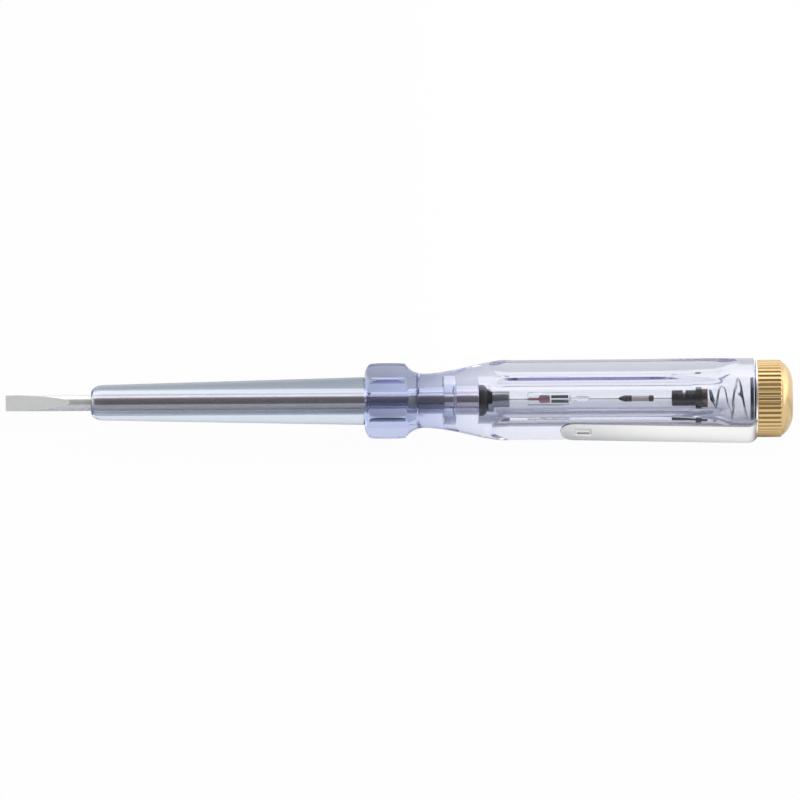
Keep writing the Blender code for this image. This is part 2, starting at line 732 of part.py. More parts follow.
def make_clip_arm(steel):
    """The flexing strip, drawn with its underside on Z = 0 and leaned to meet both of its heights."""
    lean = math.atan((clip_rear_distance - clip_front_distance) / clip_length)
    half = clip_width / 2
    curve = bpy.data.curves.new("clip_outline", "CURVE")
    curve.dimensions = "2D"
    curve.fill_mode = "BOTH"
    curve.extrude = clip_thickness / 2
    spline = curve.splines.new("POLY")
    tip = [
        (half - half * math.cos(math.pi / 2 * i / arc_steps), half * math.sin(math.pi / 2 * i / arc_steps))
        for i in range(arc_steps + 1)
    ]
    outline = [(x, y) for x, y in tip] + [(clip_length, half), (clip_length, -half)] + [(x, -y) for x, y in tip[:0:-1]]
    spline.points.add(len(outline) - 1)
    for slot, (x, y) in zip(spline.points, outline):
        slot.co = (x, y, clip_thickness / 2, 1)
    spline.use_cyclic_u = True
    flat = bpy.data.objects.new("clip_outline", curve)
    CUTTERS.objects.link(flat)
    bpy.context.view_layer.update()
    shape = flat.evaluated_get(bpy.context.evaluated_depsgraph_get())
    mesh = bpy.data.meshes.new_from_object(shape)
    bpy.data.objects.remove(flat, do_unlink=True)
    bm = bmesh.new()
    bm.from_mesh(mesh)
    bmesh.ops.remove_doubles(bm, verts=bm.verts, dist=merge_distance)
    placed = clip_placement(lean)
    hinge = clip_hinge()
    bmesh.ops.transform(bm, matrix=Matrix.Translation(-hinge) @ placed, verts=bm.verts)
    arm = add_object("clip_arm", mesh_from("clip_arm", bm), steel)
    arm.location = hinge

    dimple_front = clip_dimple_place - clip_dimple_length / 2
    dimple_rear = dimple_front + clip_dimple_length
    half_dimple = clip_dimple_width / 2
    bulge = clip_front_lift - fit_gap
    for name, low, high, operation in (
        ("clip_dimple_bulge", -bulge, clip_thickness / 2, "UNION"),
        ("clip_dimple_hollow", clip_thickness - clip_dimple_depth, clip_thickness + cut_overrun, "DIFFERENCE"),
    ):
        bm = bmesh.new()
        box(bm, (dimple_front, -half_dimple, low), (dimple_rear, half_dimple, high))
        bmesh.ops.transform(bm, matrix=placed, verts=bm.verts)
        boolean(arm, add_object(name, mesh_from(name, bm)), operation)


def clip_hinge():
    """The middle of the bend that the arm flexes at."""
    return Vector(
        (clip_hinge_station, clip_hinge_distance * math.cos(CLIP_ROLL), clip_hinge_distance * math.sin(CLIP_ROLL))
    )


def clip_placement(lean):
    """Carries the strip from its drawing plane to its place on the handle."""
    return (
        Matrix.Rotation(CLIP_ROLL - math.pi / 2, 4, "X")
        @ Matrix.Translation((clip_front, 0, clip_front_distance))
        @ Matrix.Rotation(-lean, 4, "Y")
    )


make_handle()
make_blade()
make_sleeve()
make_seal()
make_ferrule()
make_lamp()
make_resistor()
make_contact_plug()
make_spring()
make_cap()
clip_steel = make_clip_ring()
make_clip_arm(clip_steel)
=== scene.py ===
"""A clear voltage tester screwdriver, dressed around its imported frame.

X runs along the tool from the blade's tip to the cap, Z is up, and lengths are in metres. The
clip lies on the flat of the handle that faces -Y and 30 degrees below the horizontal.
"""

import math

import bmesh
import bpy
from bpy.props import FloatProperty, FloatVectorProperty, IntProperty, PointerProperty
from mathutils import Matrix, Vector


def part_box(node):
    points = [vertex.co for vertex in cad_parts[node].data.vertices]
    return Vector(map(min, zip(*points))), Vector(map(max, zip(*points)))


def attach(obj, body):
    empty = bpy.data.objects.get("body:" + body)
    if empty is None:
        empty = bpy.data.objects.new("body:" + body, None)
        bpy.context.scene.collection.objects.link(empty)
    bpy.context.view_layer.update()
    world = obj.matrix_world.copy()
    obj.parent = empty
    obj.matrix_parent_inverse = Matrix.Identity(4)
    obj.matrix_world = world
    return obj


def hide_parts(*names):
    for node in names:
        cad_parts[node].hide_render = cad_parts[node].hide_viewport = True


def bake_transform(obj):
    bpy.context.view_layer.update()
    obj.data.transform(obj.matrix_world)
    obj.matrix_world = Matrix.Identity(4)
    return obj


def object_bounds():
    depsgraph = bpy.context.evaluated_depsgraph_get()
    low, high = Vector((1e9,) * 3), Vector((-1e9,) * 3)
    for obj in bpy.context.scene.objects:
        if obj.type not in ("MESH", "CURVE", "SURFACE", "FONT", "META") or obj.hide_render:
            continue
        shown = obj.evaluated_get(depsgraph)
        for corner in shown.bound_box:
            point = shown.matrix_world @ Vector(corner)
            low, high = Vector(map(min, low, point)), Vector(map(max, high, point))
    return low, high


bl_info = {
    "name": "Voltage tester screwdriver",
    "version": (1, 0, 0),
    "blender": (4, 5, 0),
    "location": "3D View > Sidebar > Tester",
    "description": "Clear handle, glow lamp, spring, clip and knurled cap around a packed frame",
    "category": "Add Mesh",
}

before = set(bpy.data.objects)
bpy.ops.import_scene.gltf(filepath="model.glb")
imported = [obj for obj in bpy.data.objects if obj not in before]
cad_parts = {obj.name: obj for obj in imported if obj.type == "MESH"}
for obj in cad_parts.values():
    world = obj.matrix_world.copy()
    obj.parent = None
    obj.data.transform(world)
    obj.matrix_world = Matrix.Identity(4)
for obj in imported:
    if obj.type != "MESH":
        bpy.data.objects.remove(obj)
CAD_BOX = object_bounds()

MM = 0.001
WELD = MM / 10000                   # between corners that are one
FILLET = 0.1 * MM                   # small roundings inside the handle and on small parts
TOUCH = 0.02 * MM                   # between pieces that touch in the photo
FIT_GAP = 0.3 * MM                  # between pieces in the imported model
EASE = 0.05 * MM                    # over which the hexagon's flats meet the turned skin
HANDLE_BODY = "handle_assembly"

CLIP_ROLL = math.radians(210)       # the way the clip's flat faces, from +Y towards +Z
BLADE_ROLL = math.radians(150)      # the way one ground flat of the blade faces
HEXAGON_TURN = math.pi / 3
EVEN = (1, 1, 1)                    # grain that isn't drawn out along an axis
PLASTIC_INDEX, PRESSED_INDEX, GLASS_INDEX = 1.49, 1.01, 1.5


def span(piece):
    """The stations where a node starts and ends."""
    low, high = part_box(piece)
    return low.x, high.x


def radius_of(piece):
    """The outer radius of a node that is round about the tool's axis."""
    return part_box(piece)[1].z


def number(label, text, default, **more):
    return FloatProperty(name=label, description=text, default=default, **more)


def length(label, text, millimetres):
    return number(label, text, millimetres * MM, unit="LENGTH", precision=5)


def angle_of(label, text, degrees):
    return number(label, text, math.radians(degrees), unit="ROTATION")


def colour(label, text, default):
    return FloatVectorProperty(name=label, description=text, default=default, subtype="COLOR", size=3)


# Sizes and colours that a user would change


class HandleSizes(bpy.types.PropertyGroup):
    collar_face_radius: length("Collar face", "Radius of the collar's flat front face", 4.35)
    collar_chamfer: length("Collar chamfer", "Length of the collar's rounded front", 1.35)
    collar_apothem: length("Collar flats", "From the axis to the collar's flats", 5.87)
    collar_radius: length("Collar radius", "Turned radius at both ends of the collar", 6.66)
    collar_crown: length("Collar crown", "Extra radius in the middle of the collar", 0.16)
    collar_length: length("Collar length", "From the collar's front to its rear edge", 6.8)
    waist_distance: length("Waist distance", "From the collar's front to the waist", 10.5)
    waist_radius: length("Waist radius", "Radius of the thinnest place", 4.83)
    waist_fillet: length("Waist fillet", "Radius of the hollow behind the collar", 4.0)
    flare_length: length("Flare length", "From the waist to the full radius", 15.6)
    flats_start: length("Flats start", "From the waist to where the grip's flats begin", 8.2)
    flats_length: length("Flats entry", "Length over which the grip's flats deepen", 7.5)
    grip_length: length("Grip length", "From the flare to where the flats run out", 35.4)
    grip_apothem: length("Grip flats, front", "From the axis to the grip's flats in front", 6.18)
    grip_rear_apothem: length("Grip flats, rear", "From the axis to the grip's flats at the rear", 6.24)
    rear_rise: length("Rear rise", "How much further out the flats lie at the rear", 0.3)
    rear_rise_length: length("Rear rise length", "Length over which the flats rise", 14.0)
    edge_radius: length("Edge radius", "Rounding of the hexagon's long edges", 0.2)
    runout_length: length("Run-out length", "Length over which the flats run out", 6.2)
    butt_length: length("Butt length", "From the run-out to the butt's face", 7.7)
    butt_edge: length("Butt edge", "Rounding of the butt's edge", 0.2)
    neck_radius: length("Neck radius", "Radius of the threaded neck", 5.3)
    thread_pitch: length("Thread pitch", "Travel of one turn of the cap", 0.7)
    thread_depth: length("Thread depth", "Height of the thread on the neck", 0.16)
    spigot_socket: length("Spigot socket", "Depth of the socket for the sleeve", 16.5)
    socket_radius: length("Socket radius", "Radius of the socket for the sleeve", 3.0)
    shank_hole: length("Shank hole", "Radius of the hole round the shank", 1.75)
    seal_step: length("Seal step", "From the socket to the seal's groove", 4.0)
    seal_groove_length: length("Seal groove", "Length of the seal's groove", 2.0)
    seal_groove_radius: length("Seal groove radius", "Radius of the seal's groove", 2.85)
    bore_radius: length("Bore radius", "Radius of the lamp's bore", 2.85)
    chamber_front: length("Chamber front", "Station of the spring chamber's floor", 122.4)
    chamber_step: length("Chamber step", "Length over which the bore opens to the chamber", 0.5)
    chamber_radius: length("Chamber radius", "Radius of the spring chamber", 4.1)
    chamber_widening: length("Chamber widening", "Length over which the chamber widens", 4.2)
    chamber_mouth: length("Chamber mouth", "Radius of the spring chamber at its floor", 3.05)


class SleeveSizes(bpy.types.PropertyGroup):
    nose_length: length("Nose length", "Length of the rounded front", 2.4)
    nose_radius: length("Nose radius", "Radius behind the rounded front", 3.17)
    nose_face: length("Nose face", "Radius of the front face", 1.75)
    rear_radius: length("Rear radius", "Radius where the sleeve meets the collar", 4.25)
    bore_radius: length("Bore radius", "Radius of the hole for the shank", 1.6)
    spigot_radius: length("Spigot radius", "Radius of the part inside the handle", 2.97)


class BladeSizes(bpy.types.PropertyGroup):
    width: length("Blade width", "Width across the ground sides", 2.74)
    tip_thickness: length("Tip thickness", "Thickness at the tip", 0.5)
    flat_length: length("Flat length", "From the tip to where the flats run out", 11.5)
    side_length: length("Side length", "From the tip to where the ground sides run out", 9.0)


class PlugSizes(bpy.types.PropertyGroup):
    nose_gap: length("Nose gap", "Between the plug's nose and the bore", 0.75)
    notch_half: length("Notch half", "Half the width of the notch in the nose", 0.28)
    notch_depth: length("Notch depth", "Depth of the notch in the nose", 1.1)
    ring_hole: length("Ring hole", "Radius of the hole in the copper ring", 0.9)


class CapSizes(bpy.types.PropertyGroup):
    knurl_length: length("Knurl length", "Length of the knurled band", 3.65)
    knurl_depth: length("Knurl depth", "Depth of the grooves", 0.2)
    knurl_count: IntProperty(name="Grooves", description="Number of grooves", default=44, min=12)
    shoulder_drop: length("Shoulder drop", "Step down behind the knurl", 0.38)
    face_radius: length("Face radius", "Radius of the flat end", 3.3)
    end_wall: length("End wall", "Thickness of the end", 1.8)
    cavity_radius: length("Cavity radius", "Radius of the threaded inside", 5.6)
    boss_reach: length("Boss reach", "How far the inner boss goes past the handle's face", 0.7)
    boss_radius: length("Boss radius", "Radius of the inner boss", 3.8)
    dome_fullness: number("Dome fullness", "1 is a cone and 2 an ellipse", 1.5)


class ClipSizes(bpy.types.PropertyGroup):
    thickness: length("Sheet", "Thickness of the sheet", 0.35)
    width: length("Width", "Width of the arm", 5.0)
    arm_length: length("Arm length", "From the arm's tip to its bend", 34.5)
    front_lift: length("Front lift", "Height of the arm's tip over the flat", 0.42)
    dimple_place: length("Dimple place", "From the arm's tip to the dimple's middle", 4.1)
    dimple_length: length("Dimple length", "Length of the pressed dimple", 2.7)
    dimple_width: length("Dimple width", "Width of the pressed dimple", 1.7)
    dimple_depth: length("Dimple depth", "Depth of the pressed dimple", 0.46)
    dimple_edge: length("Dimple edge", "Width of the dimple's sloping edge", 0.42)
    bend_radius: length("Bend radius", "Outer radius of the rear bend", 1.9)


class LampSizes(bpy.types.PropertyGroup):
    wall: length("Wall", "Thickness of the glass", 0.35)
    body_length: length("Body length", "From the front rim to the pinched tip", 7.8)
    dome_length: length("Dome length", "Length of the rounded rear", 0.6)
    tip_neck: length("Tip neck", "Radius of the neck of the pinched tip", 0.4)
    tip_radius: length("Tip radius", "Radius of the pinched tip", 0.75)
    stem_radius: length("Stem radius", "Radius of the foot's thin stem", 0.34)
    stem_length: length("Stem length", "Length of the foot's thin stem", 1.7)
    electrode_radius: length("Electrode radius", "Radius of each electrode", 0.44)
    lead_radius: length("Lead radius", "Radius of each wire", 0.16)


class SpringSizes(bpy.types.PropertyGroup):
    wire: length("Wire", "Diameter of the wire", 0.38)
    coil_radius: length("Coil radius", "Radius of the wide coils", 3.58)
    front_radius: length("Front radius", "Radius of the coil on the contact ring", 2.1)
    taper: length("Taper", "Length over which the coils widen", 4.5)
    pitch: length("Pitch", "Distance between coils", 3.1)
    closed_turns: number("Closed turns", "Turns that lie close in front", 0.4)
    start_angle: angle_of("Start angle", "Where the wire starts", 64)


class FinishColours(bpy.types.PropertyGroup):
    handle_plastic: colour("Handle plastic", "Colour left by the handle's plastic", (0.32, 0.32, 0.8))
    handle_depth: number("Handle depth", "How strongly it colours light", 20)
    collar_tint: colour("Collar tint", "Deeper violet of the collar's surface", (0.65, 0.715, 0.9))
    sleeve_plastic: colour("Sleeve plastic", "Colour left by the sleeve's plastic", (0.25, 0.45, 0.75))
    sleeve_depth: number("Sleeve depth", "How strongly it colours light", 35)
    sleeve_tint: colour("Sleeve tint", "Grey of the sleeve's surface", (0.85, 0.88, 0.93))
    steel: colour("Plated steel", "Bare shank", (0.88, 0.88, 0.87))
    # painted shade: the shank drawn browner and darker where the sleeve and the handle cover it
    covered_steel_shade: colour("Covered steel", "Shank in the sleeve and the handle", (0.66, 0.58, 0.56))
    ground_steel: colour("Ground steel", "Flats of the blade", (1.0, 0.995, 0.975))
    brass: colour("Brass", "Screw cap", (0.75, 0.54, 0.27))
    # painted shade: darker brass laid into the knurl's grooves
    brass_groove_shade: colour("Brass in grooves", "Darker brass in the knurl", (0.46, 0.27, 0.08))
    clip: colour("Clip steel", "Satin plating of the clip", (0.98, 0.975, 0.955))


class StudioSettings(bpy.types.PropertyGroup):
    photo_scale: number("Photo scale", "Pixels for each metre", 5620)
    photo_side: IntProperty(name="Photo side", description="Pixels across the photo", default=800)
    tip_column: number("Tip column", "Pixel column of the blade's tip", 5.7)
    axis_row: number("Axis row", "Pixels from the middle down to the axis", 0.83)
    field: angle_of("Field", "Angle across the photo", 3.0)
    elevation: angle_of("Elevation", "Camera above the horizon", 25.7)
    roll: angle_of("Roll", "Camera roll", -0.38)
    dark_side: number("Dark side", "Brightness of the room behind the camera", 0.2)
    overhead: number("Overhead", "Brightness of the soft light overhead", 2.0)
    backdrop: number("Backdrop", "Brightness of the wall behind the tool", 1.0)
    side_wall: number("Side wall", "Brightness of the wall on the right", 1.9)
    # painted shade on the far front floor
    floor_shade: number("Floor shade", "Paleness of the far front floor", 0.66)


def settings(name):
    """One of the property groups above, as the scene holds it."""
    return getattr(bpy.context.scene, "tester_" + name)


# Shapes


def smooth(share):
    """Rises smoothly from 0 to 1 as the share does."""
    share = min(max(share, 0), 1)
    return share * share * (3 - 2 * share)


def line(start, end, count):
    """Points on a straight line after its start, to its end."""
    return [
        (start[0] + (end[0] - start[0]) * i / count, start[1] + (end[1] - start[1]) * i / count)
        for i in range(1, count + 1)
    ]


def quarter(start, end, bulge_out, steps=10, fullness=2.0):
    """A quarter turn after its start, to its end, that leaves along X, or outward with bulge_out."""
    points = []
    for i in range(1, steps + 1):
        turn = math.pi / 2 * i / steps
        along, out = math.sin(turn) ** (2 / fullness), 1 - math.cos(turn) ** (2 / fullness)
        if bulge_out:
            along, out = out, along
        points.append((start[0] + (end[0] - start[0]) * along, start[1] + (end[1] - start[1]) * out))
    return points


def filleted(corners, steps=4):
    """An outline through corners of (station, radius, fillet), with each fillet as an arc."""
    points = []
    for i, (station, radius, fillet) in enumerate(corners):
        here = Vector((station, radius))
        if not fillet or i in (0, len(corners) - 1):
            points.append((station, radius))
            continue
        before = Vector(corners[i - 1][:2]) - here
        after = Vector(corners[i + 1][:2]) - here
        half = before.angle(after) / 2
        reach = min(fillet / math.tan(half), before.length / 2, after.length / 2)
        centre = here + (before.normalized() + after.normalized()).normalized() * (reach / math.cos(half))
        first = here + before.normalized() * reach - centre
        last = here + after.normalized() * reach - centre
        sweep = first.angle(last)
        for k in range(steps + 1):
            share = k / steps
            arm = first * math.sin((1 - share) * sweep) + last * math.sin(share * sweep)
            points.append(tuple(centre + arm / math.sin(sweep)))
    return points


def washer(front, rear, hole, radius, rim, steps=4):
    """The outline of a flat ring with rounded rims."""
    corners = [(front, hole + rim, 0), (front, radius, rim), (rear, radius, rim), (rear, hole, rim)]
    return filleted([*corners, (front + rim, hole, 0)], steps)


def spun(outline, steps):
    """A closed skin turned about X from an outline of (station, radius), which may touch the axis."""
    bm = bmesh.new()
    corners = [bm.verts.new((station, radius, 0)) for station, radius in outline]
    for i, corner in enumerate(corners):
        after = corners[(i + 1) % len(corners)]
        if corner.co.y or after.co.y:
            bm.edges.new((corner, after))
    bmesh.ops.spin(
        bm, geom=bm.verts[:] + bm.edges[:], cent=(0, 0, 0), axis=(1, 0, 0), angle=2 * math.pi,
        steps=steps, use_merge=True,
    )
    bmesh.ops.remove_doubles(bm, verts=bm.verts, dist=WELD)
    bmesh.ops.recalc_face_normals(bm, faces=bm.faces)
    return bm


def rod(stations, radius, rounding, steps=24, offset=(0, 0)):
    """A straight rod with rounded rims along X, offset from the axis along Y and Z."""
    front, rear = stations
    corners = [(front, 0, 0), (front, radius, rounding), (rear, radius, rounding), (rear, 0, 0)]
    bm = spun(filleted(corners, 3), steps)
    bmesh.ops.translate(bm, vec=(0, *offset), verts=bm.verts)
    return bm


def hexagon_radius(angle, apothem, edge_radius):
    """From the axis to a hexagon with rounded edges, its flats facing up and down."""
    from_edge = (angle + HEXAGON_TURN / 2) % HEXAGON_TURN - HEXAGON_TURN / 2
    centre = (apothem - edge_radius) / math.cos(HEXAGON_TURN / 2)
    from_flat = HEXAGON_TURN / 2 - abs(from_edge)
    if math.tan(from_flat) <= centre / 2 / apothem:
        return apothem / math.cos(from_flat)
    return centre * math.cos(from_edge) + math.sqrt(edge_radius**2 - (centre * math.sin(from_edge)) ** 2)


def least(a, b, blend):
    """The lesser of two lengths, eased where they cross."""
    near = max(blend - abs(a - b), 0) / blend
    return min(a, b) - near * near * blend / 4


def press_faces(bm, stations, radius):
    """Give the second paint to the faces of a round wall, where one clear part is pressed on another."""
    for face in bm.faces:
        near = all(abs(math.hypot(v.co.y, v.co.z) - radius) < TOUCH for v in face.verts)
        if near and stations[0] < face.calc_center_median().x < stations[1]:
            face.material_index = 1


def new_object(name, bm, paints=()):
    """Put a mesh into the scene as an object."""
    mesh = bpy.data.meshes.new(name)
    bm.to_mesh(mesh)
    bm.free()
    for paint in paints:
        mesh.materials.append(paint)
    made = bpy.data.objects.new(name, mesh)
    bpy.context.scene.collection.objects.link(made)
    return made


def worked_mesh(context, piece):
    """A piece's mesh as its modifiers or its bevel make it."""
    context.view_layer.update()
    return bpy.data.meshes.new_from_object(piece.evaluated_get(context.evaluated_depsgraph_get()))


def finish_piece(name, bm, paints, pieces, body=HANDLE_BODY, sharp=math.radians(32)):
    """Write the mesh, mark its sharp edges, paint it, hide the nodes it stands for, and hang it on the body
    it rides on, if any.
    """
    for edge in bm.edges:
        if len(edge.link_faces) == 2 and edge.calc_face_angle() > sharp:
            edge.smooth = False
    for face in bm.faces:
        face.smooth = True
    piece = new_object(name, bm, paints)
    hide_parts(*pieces)
    if body:
        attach(piece, body)
    return piece


# Node groups that several finishes share


def feed(socket, value):
    """Join a node's output to a socket, or set the socket to a number, a vector or a colour."""
    if isinstance(value, bpy.types.NodeSocket):
        socket.id_data.links.new(value, socket)
    else:
        socket.default_value = (*value, 1) if socket.type == "RGBA" else value


def fill(made, **values):
    """Feed a node's sockets, each named with _ for a space."""
    for key, value in values.items():
        feed(made.inputs[key.replace("_", " ")], value)


def node(tree, kind, *terms, **values):
    """A node with its first sockets fed by the terms, and others and its settings by the values."""
    made = tree.nodes.new("ShaderNode" + kind)
    for key in [key for key in values if hasattr(made, key)]:
        setattr(made, key, values.pop(key))
    fill(made, **values)
    for socket, value in enumerate(terms):
        feed(made.inputs[socket], value)
    return made


def worked_out(tree, operation, *terms, clamp=False):
    """A Math node's result."""
    return node(tree, "Math", *terms, operation=operation, use_clamp=clamp).outputs[0]


def ranged(tree, factor, low, high):
    """A value between two others, by a factor that changes over the surface."""
    return node(tree, "MapRange", Value=factor, To_Min=low, To_Max=high).outputs[0]


def blended(tree, factor, low, high):
    """A colour between two others, by a factor that changes over the surface."""
    mix = node(tree, "Mix", factor, data_type="RGBA")
    feed(mix.inputs[6], low)
    feed(mix.inputs[7], high)
    return mix.outputs[2]


def mixed(tree, factor, low, high):
    """A value between two others, by a factor."""
    mix = node(tree, "Mix", factor, data_type="FLOAT")
    feed(mix.inputs[2], low)
    feed(mix.inputs[3], high)
    return mix.outputs[0]


def relief(tree, height, strength, depth):
    """A bump's normal, with its depth in millimetres."""
    return node(tree, "Bump", Height=height, Strength=strength, Distance=depth * MM).outputs[0]


def new_group(name, inputs, output):
    """An empty shader node group with inputs of (name, kind) and one value to give."""
    tree = bpy.data.node_groups.new(name, "ShaderNodeTree")
    for label, kind in inputs:
        tree.interface.new_socket(name=label, in_out="INPUT", socket_type="NodeSocket" + kind)
    tree.interface.new_socket(name=output, in_out="OUTPUT", socket_type="NodeSocketFloat")
    return tree, tree.nodes.new("NodeGroupInput"), tree.nodes.new("NodeGroupOutput")


def grain_group():
    """Fine parallel marks: a noise drawn out along the axes where Stretch is small."""
    name = "fine_grain"
    if name in bpy.data.node_groups:
        return bpy.data.node_groups[name]
    sockets = [("Coordinates", "Vector"), ("Stretch", "Vector"), ("Scale", "Float")]
    tree, given, result = new_group(name, sockets, "Grain")
    drawn = node(tree, "VectorMath", given.outputs[0], given.outputs[1], operation="MULTIPLY")
    noise = node(tree, "TexNoise", Vector=drawn.outputs[0], Scale=given.outputs[2], Detail=4.0)
    feed(result.inputs[0], noise.outputs["Fac"])
    return tree


def marks_group():
    """Soft patches and sparse hairlines, as handling leaves them."""
    name = "handling_marks"
    if name in bpy.data.node_groups:
        return bpy.data.node_groups[name]
    sockets = [("Coordinates", "Vector"), ("Scale", "Float"), ("Hairlines", "Float")]
    tree, given, result = new_group(name, sockets, "Marks")
    patches = node(tree, "TexNoise", Vector=given.outputs[0], Scale=given.outputs[1], Detail=3.0)
    drawn = node(tree, "VectorMath", given.outputs[0], (0.12, 1.0, 1.0), operation="MULTIPLY")
    fine = worked_out(tree, "MULTIPLY", given.outputs[1], 9.0)
    scratch = node(tree, "TexNoise", Vector=drawn.outputs[0], Scale=fine, Detail=2.0)
    thin = node(tree, "MapRange", Value=scratch.outputs["Fac"], From_Min=0.62, From_Max=0.7)
    wanted = worked_out(tree, "MULTIPLY", thin.outputs[0], given.outputs[2])
    feed(result.inputs[0], worked_out(tree, "ADD", patches.outputs["Fac"], wanted, clamp=True))
    return tree


def use_group(tree, group, coordinates, **values):
    placed = tree.nodes.new("ShaderNodeGroup")
    placed.node_tree = group
    fill(placed, Coordinates=coordinates, **values)
    return placed.outputs[0]


def new_material(name, **values):
    """A material with its Principled shader's plain values, its tree and the object's coordinates."""
    made = bpy.data.materials.new(name)
    made.use_nodes = True
    tree = made.node_tree
    shader = tree.nodes["Principled BSDF"]
    fill(shader, **values)
    return made, tree, shader, tree.nodes.new("ShaderNodeTexCoord").outputs["Object"]


def surface(name, light, dark, rough, stretch, scale, depth, Metallic=1.0, **values):
    """A finish with grain in its colour, gloss and relief, and with handling marks in its gloss."""
    made, tree, shader, coordinates = new_material(name, Metallic=Metallic, **values)
    grain = use_group(tree, grain_group(), coordinates, Stretch=stretch, Scale=scale)
    worn = use_group(tree, marks_group(), coordinates, Scale=400.0, Hairlines=0.4)
    fill(
        shader, Base_Color=blended(tree, grain, dark, light),
        Roughness=ranged(tree, worked_out(tree, "MULTIPLY", grain, worn), *rough),
        Normal=relief(tree, grain, 0.5, depth),
    )
    return made


def shade_along(made, tone, stations):
    """Turn a finish's colour into another one between two stations along the tool."""
    tree = made.node_tree
    shader = tree.nodes["Principled BSDF"]
    before = shader.inputs["Base Color"].links[0].from_socket
    place = node(tree, "SeparateXYZ", tree.nodes["Texture Coordinate"].outputs["Object"]).outputs["X"]
    reached = node(tree, "MapRange", Value=place, From_Min=stations[0], From_Max=stations[1])
    fill(shader, Base_Color=blended(tree, reached.outputs[0], before, tone))


def shades(tone, spread):
    """A light and a dark shade of a colour, as far apart as the spread says."""
    return tuple(min(c * (1 + spread), 1) for c in tone), tuple(c * (1 - spread) for c in tone)


# Finishes

# Light and dark shade, roughness, stretch, scale and depth in mm of the grain, and other sockets
PLAIN_FINISHES = {
    "seal_rubber": (
        (0.03, 0.03, 0.034), (0.015, 0.015, 0.018), (0.4, 0.62), EVEN, 4000, 0.01,
        {"Metallic": 0, "Specular_IOR_Level": 0.4},
    ),
    "ferrule_metal": (*shades((0.34, 0.34, 0.38), 0.12), (0.16, 0.3), (1, 0.1, 0.1), 5000, 0.003, {}),
    "electrode_metal": (*shades((0.12, 0.13, 0.13), 0.25), (0.3, 0.5), EVEN, 6000, 0.01, {}),
    "tinned_wire": (*shades((0.72, 0.7, 0.68), 0.1), (0.18, 0.36), (0.2, 1, 1), 6000, 0.004, {}),
    "resistor_lacquer": (
        (0.97, 0.94, 0.86), (0.86, 0.79, 0.68), (0.1, 0.22), EVEN, 2500, 0.006,
        {"Metallic": 0, "Coat_Weight": 0.6},
    ),
    "resistor_cap_metal": (
        (0.2, 0.16, 0.15), (0.1, 0.07, 0.07), (0.22, 0.4), EVEN, 2500, 0.008, {"Metallic": 0.6},
    ),
    "plug_plastic": (
        (0.035, 0.035, 0.04), (0.02, 0.02, 0.025), (0.25, 0.45), EVEN, 3500, 0.01, {"Metallic": 0},
    ),
    "contact_copper": ((0.2, 0.14, 0.13), (0.1, 0.07, 0.06), (0.25, 0.5), EVEN, 2500, 0.006, {}),
    "spring_wire": (*shades((0.4, 0.4, 0.43), 0.12), (0.16, 0.3), EVEN, 8000, 0.004, {}),
    # painted shade: the clip's edges, drawn dark grey
    "clip_edge": (*shades((0.34, 0.34, 0.33), 0.12), (0.36, 0.55), EVEN, 7000, 0.004, {}),
    # painted shade: the brass boss inside the cap, drawn near black as if in shade
    "cap_boss": ((0.09, 0.09, 0.13), (0.04, 0.04, 0.07), (0.3, 0.5), (1, 0.08, 0.08), 6000, 0.004, {}),
}


def plain(name):
    """One of the finishes above."""
    *values, others = PLAIN_FINISHES[name]
    return surface(name, *values, **others)


def clear_plastic(name, left, strength, base, roughness):
    """Moulded clear plastic, which colours light by the way it travels inside."""
    made, tree, shader, coordinates = new_material(name, Transmission_Weight=1.0, IOR=PLASTIC_INDEX)
    worn = use_group(tree, marks_group(), coordinates, Scale=260.0, Hairlines=0.5)
    ripple = use_group(tree, grain_group(), coordinates, Stretch=(0.25, 1, 1), Scale=420.0)
    fill(
        shader, Base_Color=blended(tree, worn, base, tuple(min(c * 1.05, 1) for c in base)),
        Roughness=ranged(tree, worn, roughness, 2 * roughness), Normal=relief(tree, ripple, 0.3, 0.006),
    )
    inside = node(tree, "VolumeAbsorption", Color=left, Density=strength)
    fill(tree.nodes["Material Output"], Volume=inside.outputs[0])
    return made


def handle_plastic():
    """Pale violet along the grip and deeper violet round the collar."""
    tones, sizes = settings("finish"), settings("handle")
    pale = (0.93, 0.94, 0.98)
    made = clear_plastic("handle_plastic", tones.handle_plastic, tones.handle_depth, pale, 0.012)
    waist = span("handle")[0] + sizes.waist_distance
    shade_along(made, tones.collar_tint, (waist + sizes.flare_length * 0.8, waist))
    return made


def sleeve_plastic():
    tones = settings("finish")
    return clear_plastic("sleeve_plastic", tones.sleeve_plastic, tones.sleeve_depth, tones.sleeve_tint, 0.015)


def pressed_plastic():
    """Where two clear parts are pressed together, so light goes through with almost no bend."""
    made, tree, shader, coordinates = new_material(
        "pressed_plastic", Transmission_Weight=1.0, IOR=PRESSED_INDEX, Roughness=0.0
    )
    worn = use_group(tree, marks_group(), coordinates, Scale=260.0, Hairlines=0.0)
    fill(shader, Base_Color=blended(tree, worn, (0.96, 0.96, 0.99), (1, 1, 1)))
    return made


def plated_steel():
    """Bright steel, with painted shade: browner and darker where the sleeve and the handle cover it."""
    tones = settings("finish")
    made = surface("plated_steel", *shades(tones.steel, 0.06), (0.1, 0.24), (0.08, 1, 1), 9000, 0.002)
    cover, fade = span("insulating_sleeve")[0], 0.8 * MM
    # painted shade: the covered shank turns to the darker covered colour
    shade_along(made, tones.covered_steel_shade, (cover, cover + fade))
    return made


def bare_steel():
    """The shank in front of the sleeve, a little satin."""
    tones = shades(settings("finish").steel, 0.06)
    return surface("bare_steel", *tones, (0.24, 0.36), (0.08, 1, 1), 9000, 0.001, 0.65)


def ground_steel():
    """The blade's flats, ground across, with the grain on top of a rough surface."""
    tones = shades(settings("finish").ground_steel, 0.16)
    return surface("ground_steel", *tones, (0.5, 0.75), (1, 0.25, 0.25), 9000, 0.02, 0.1)


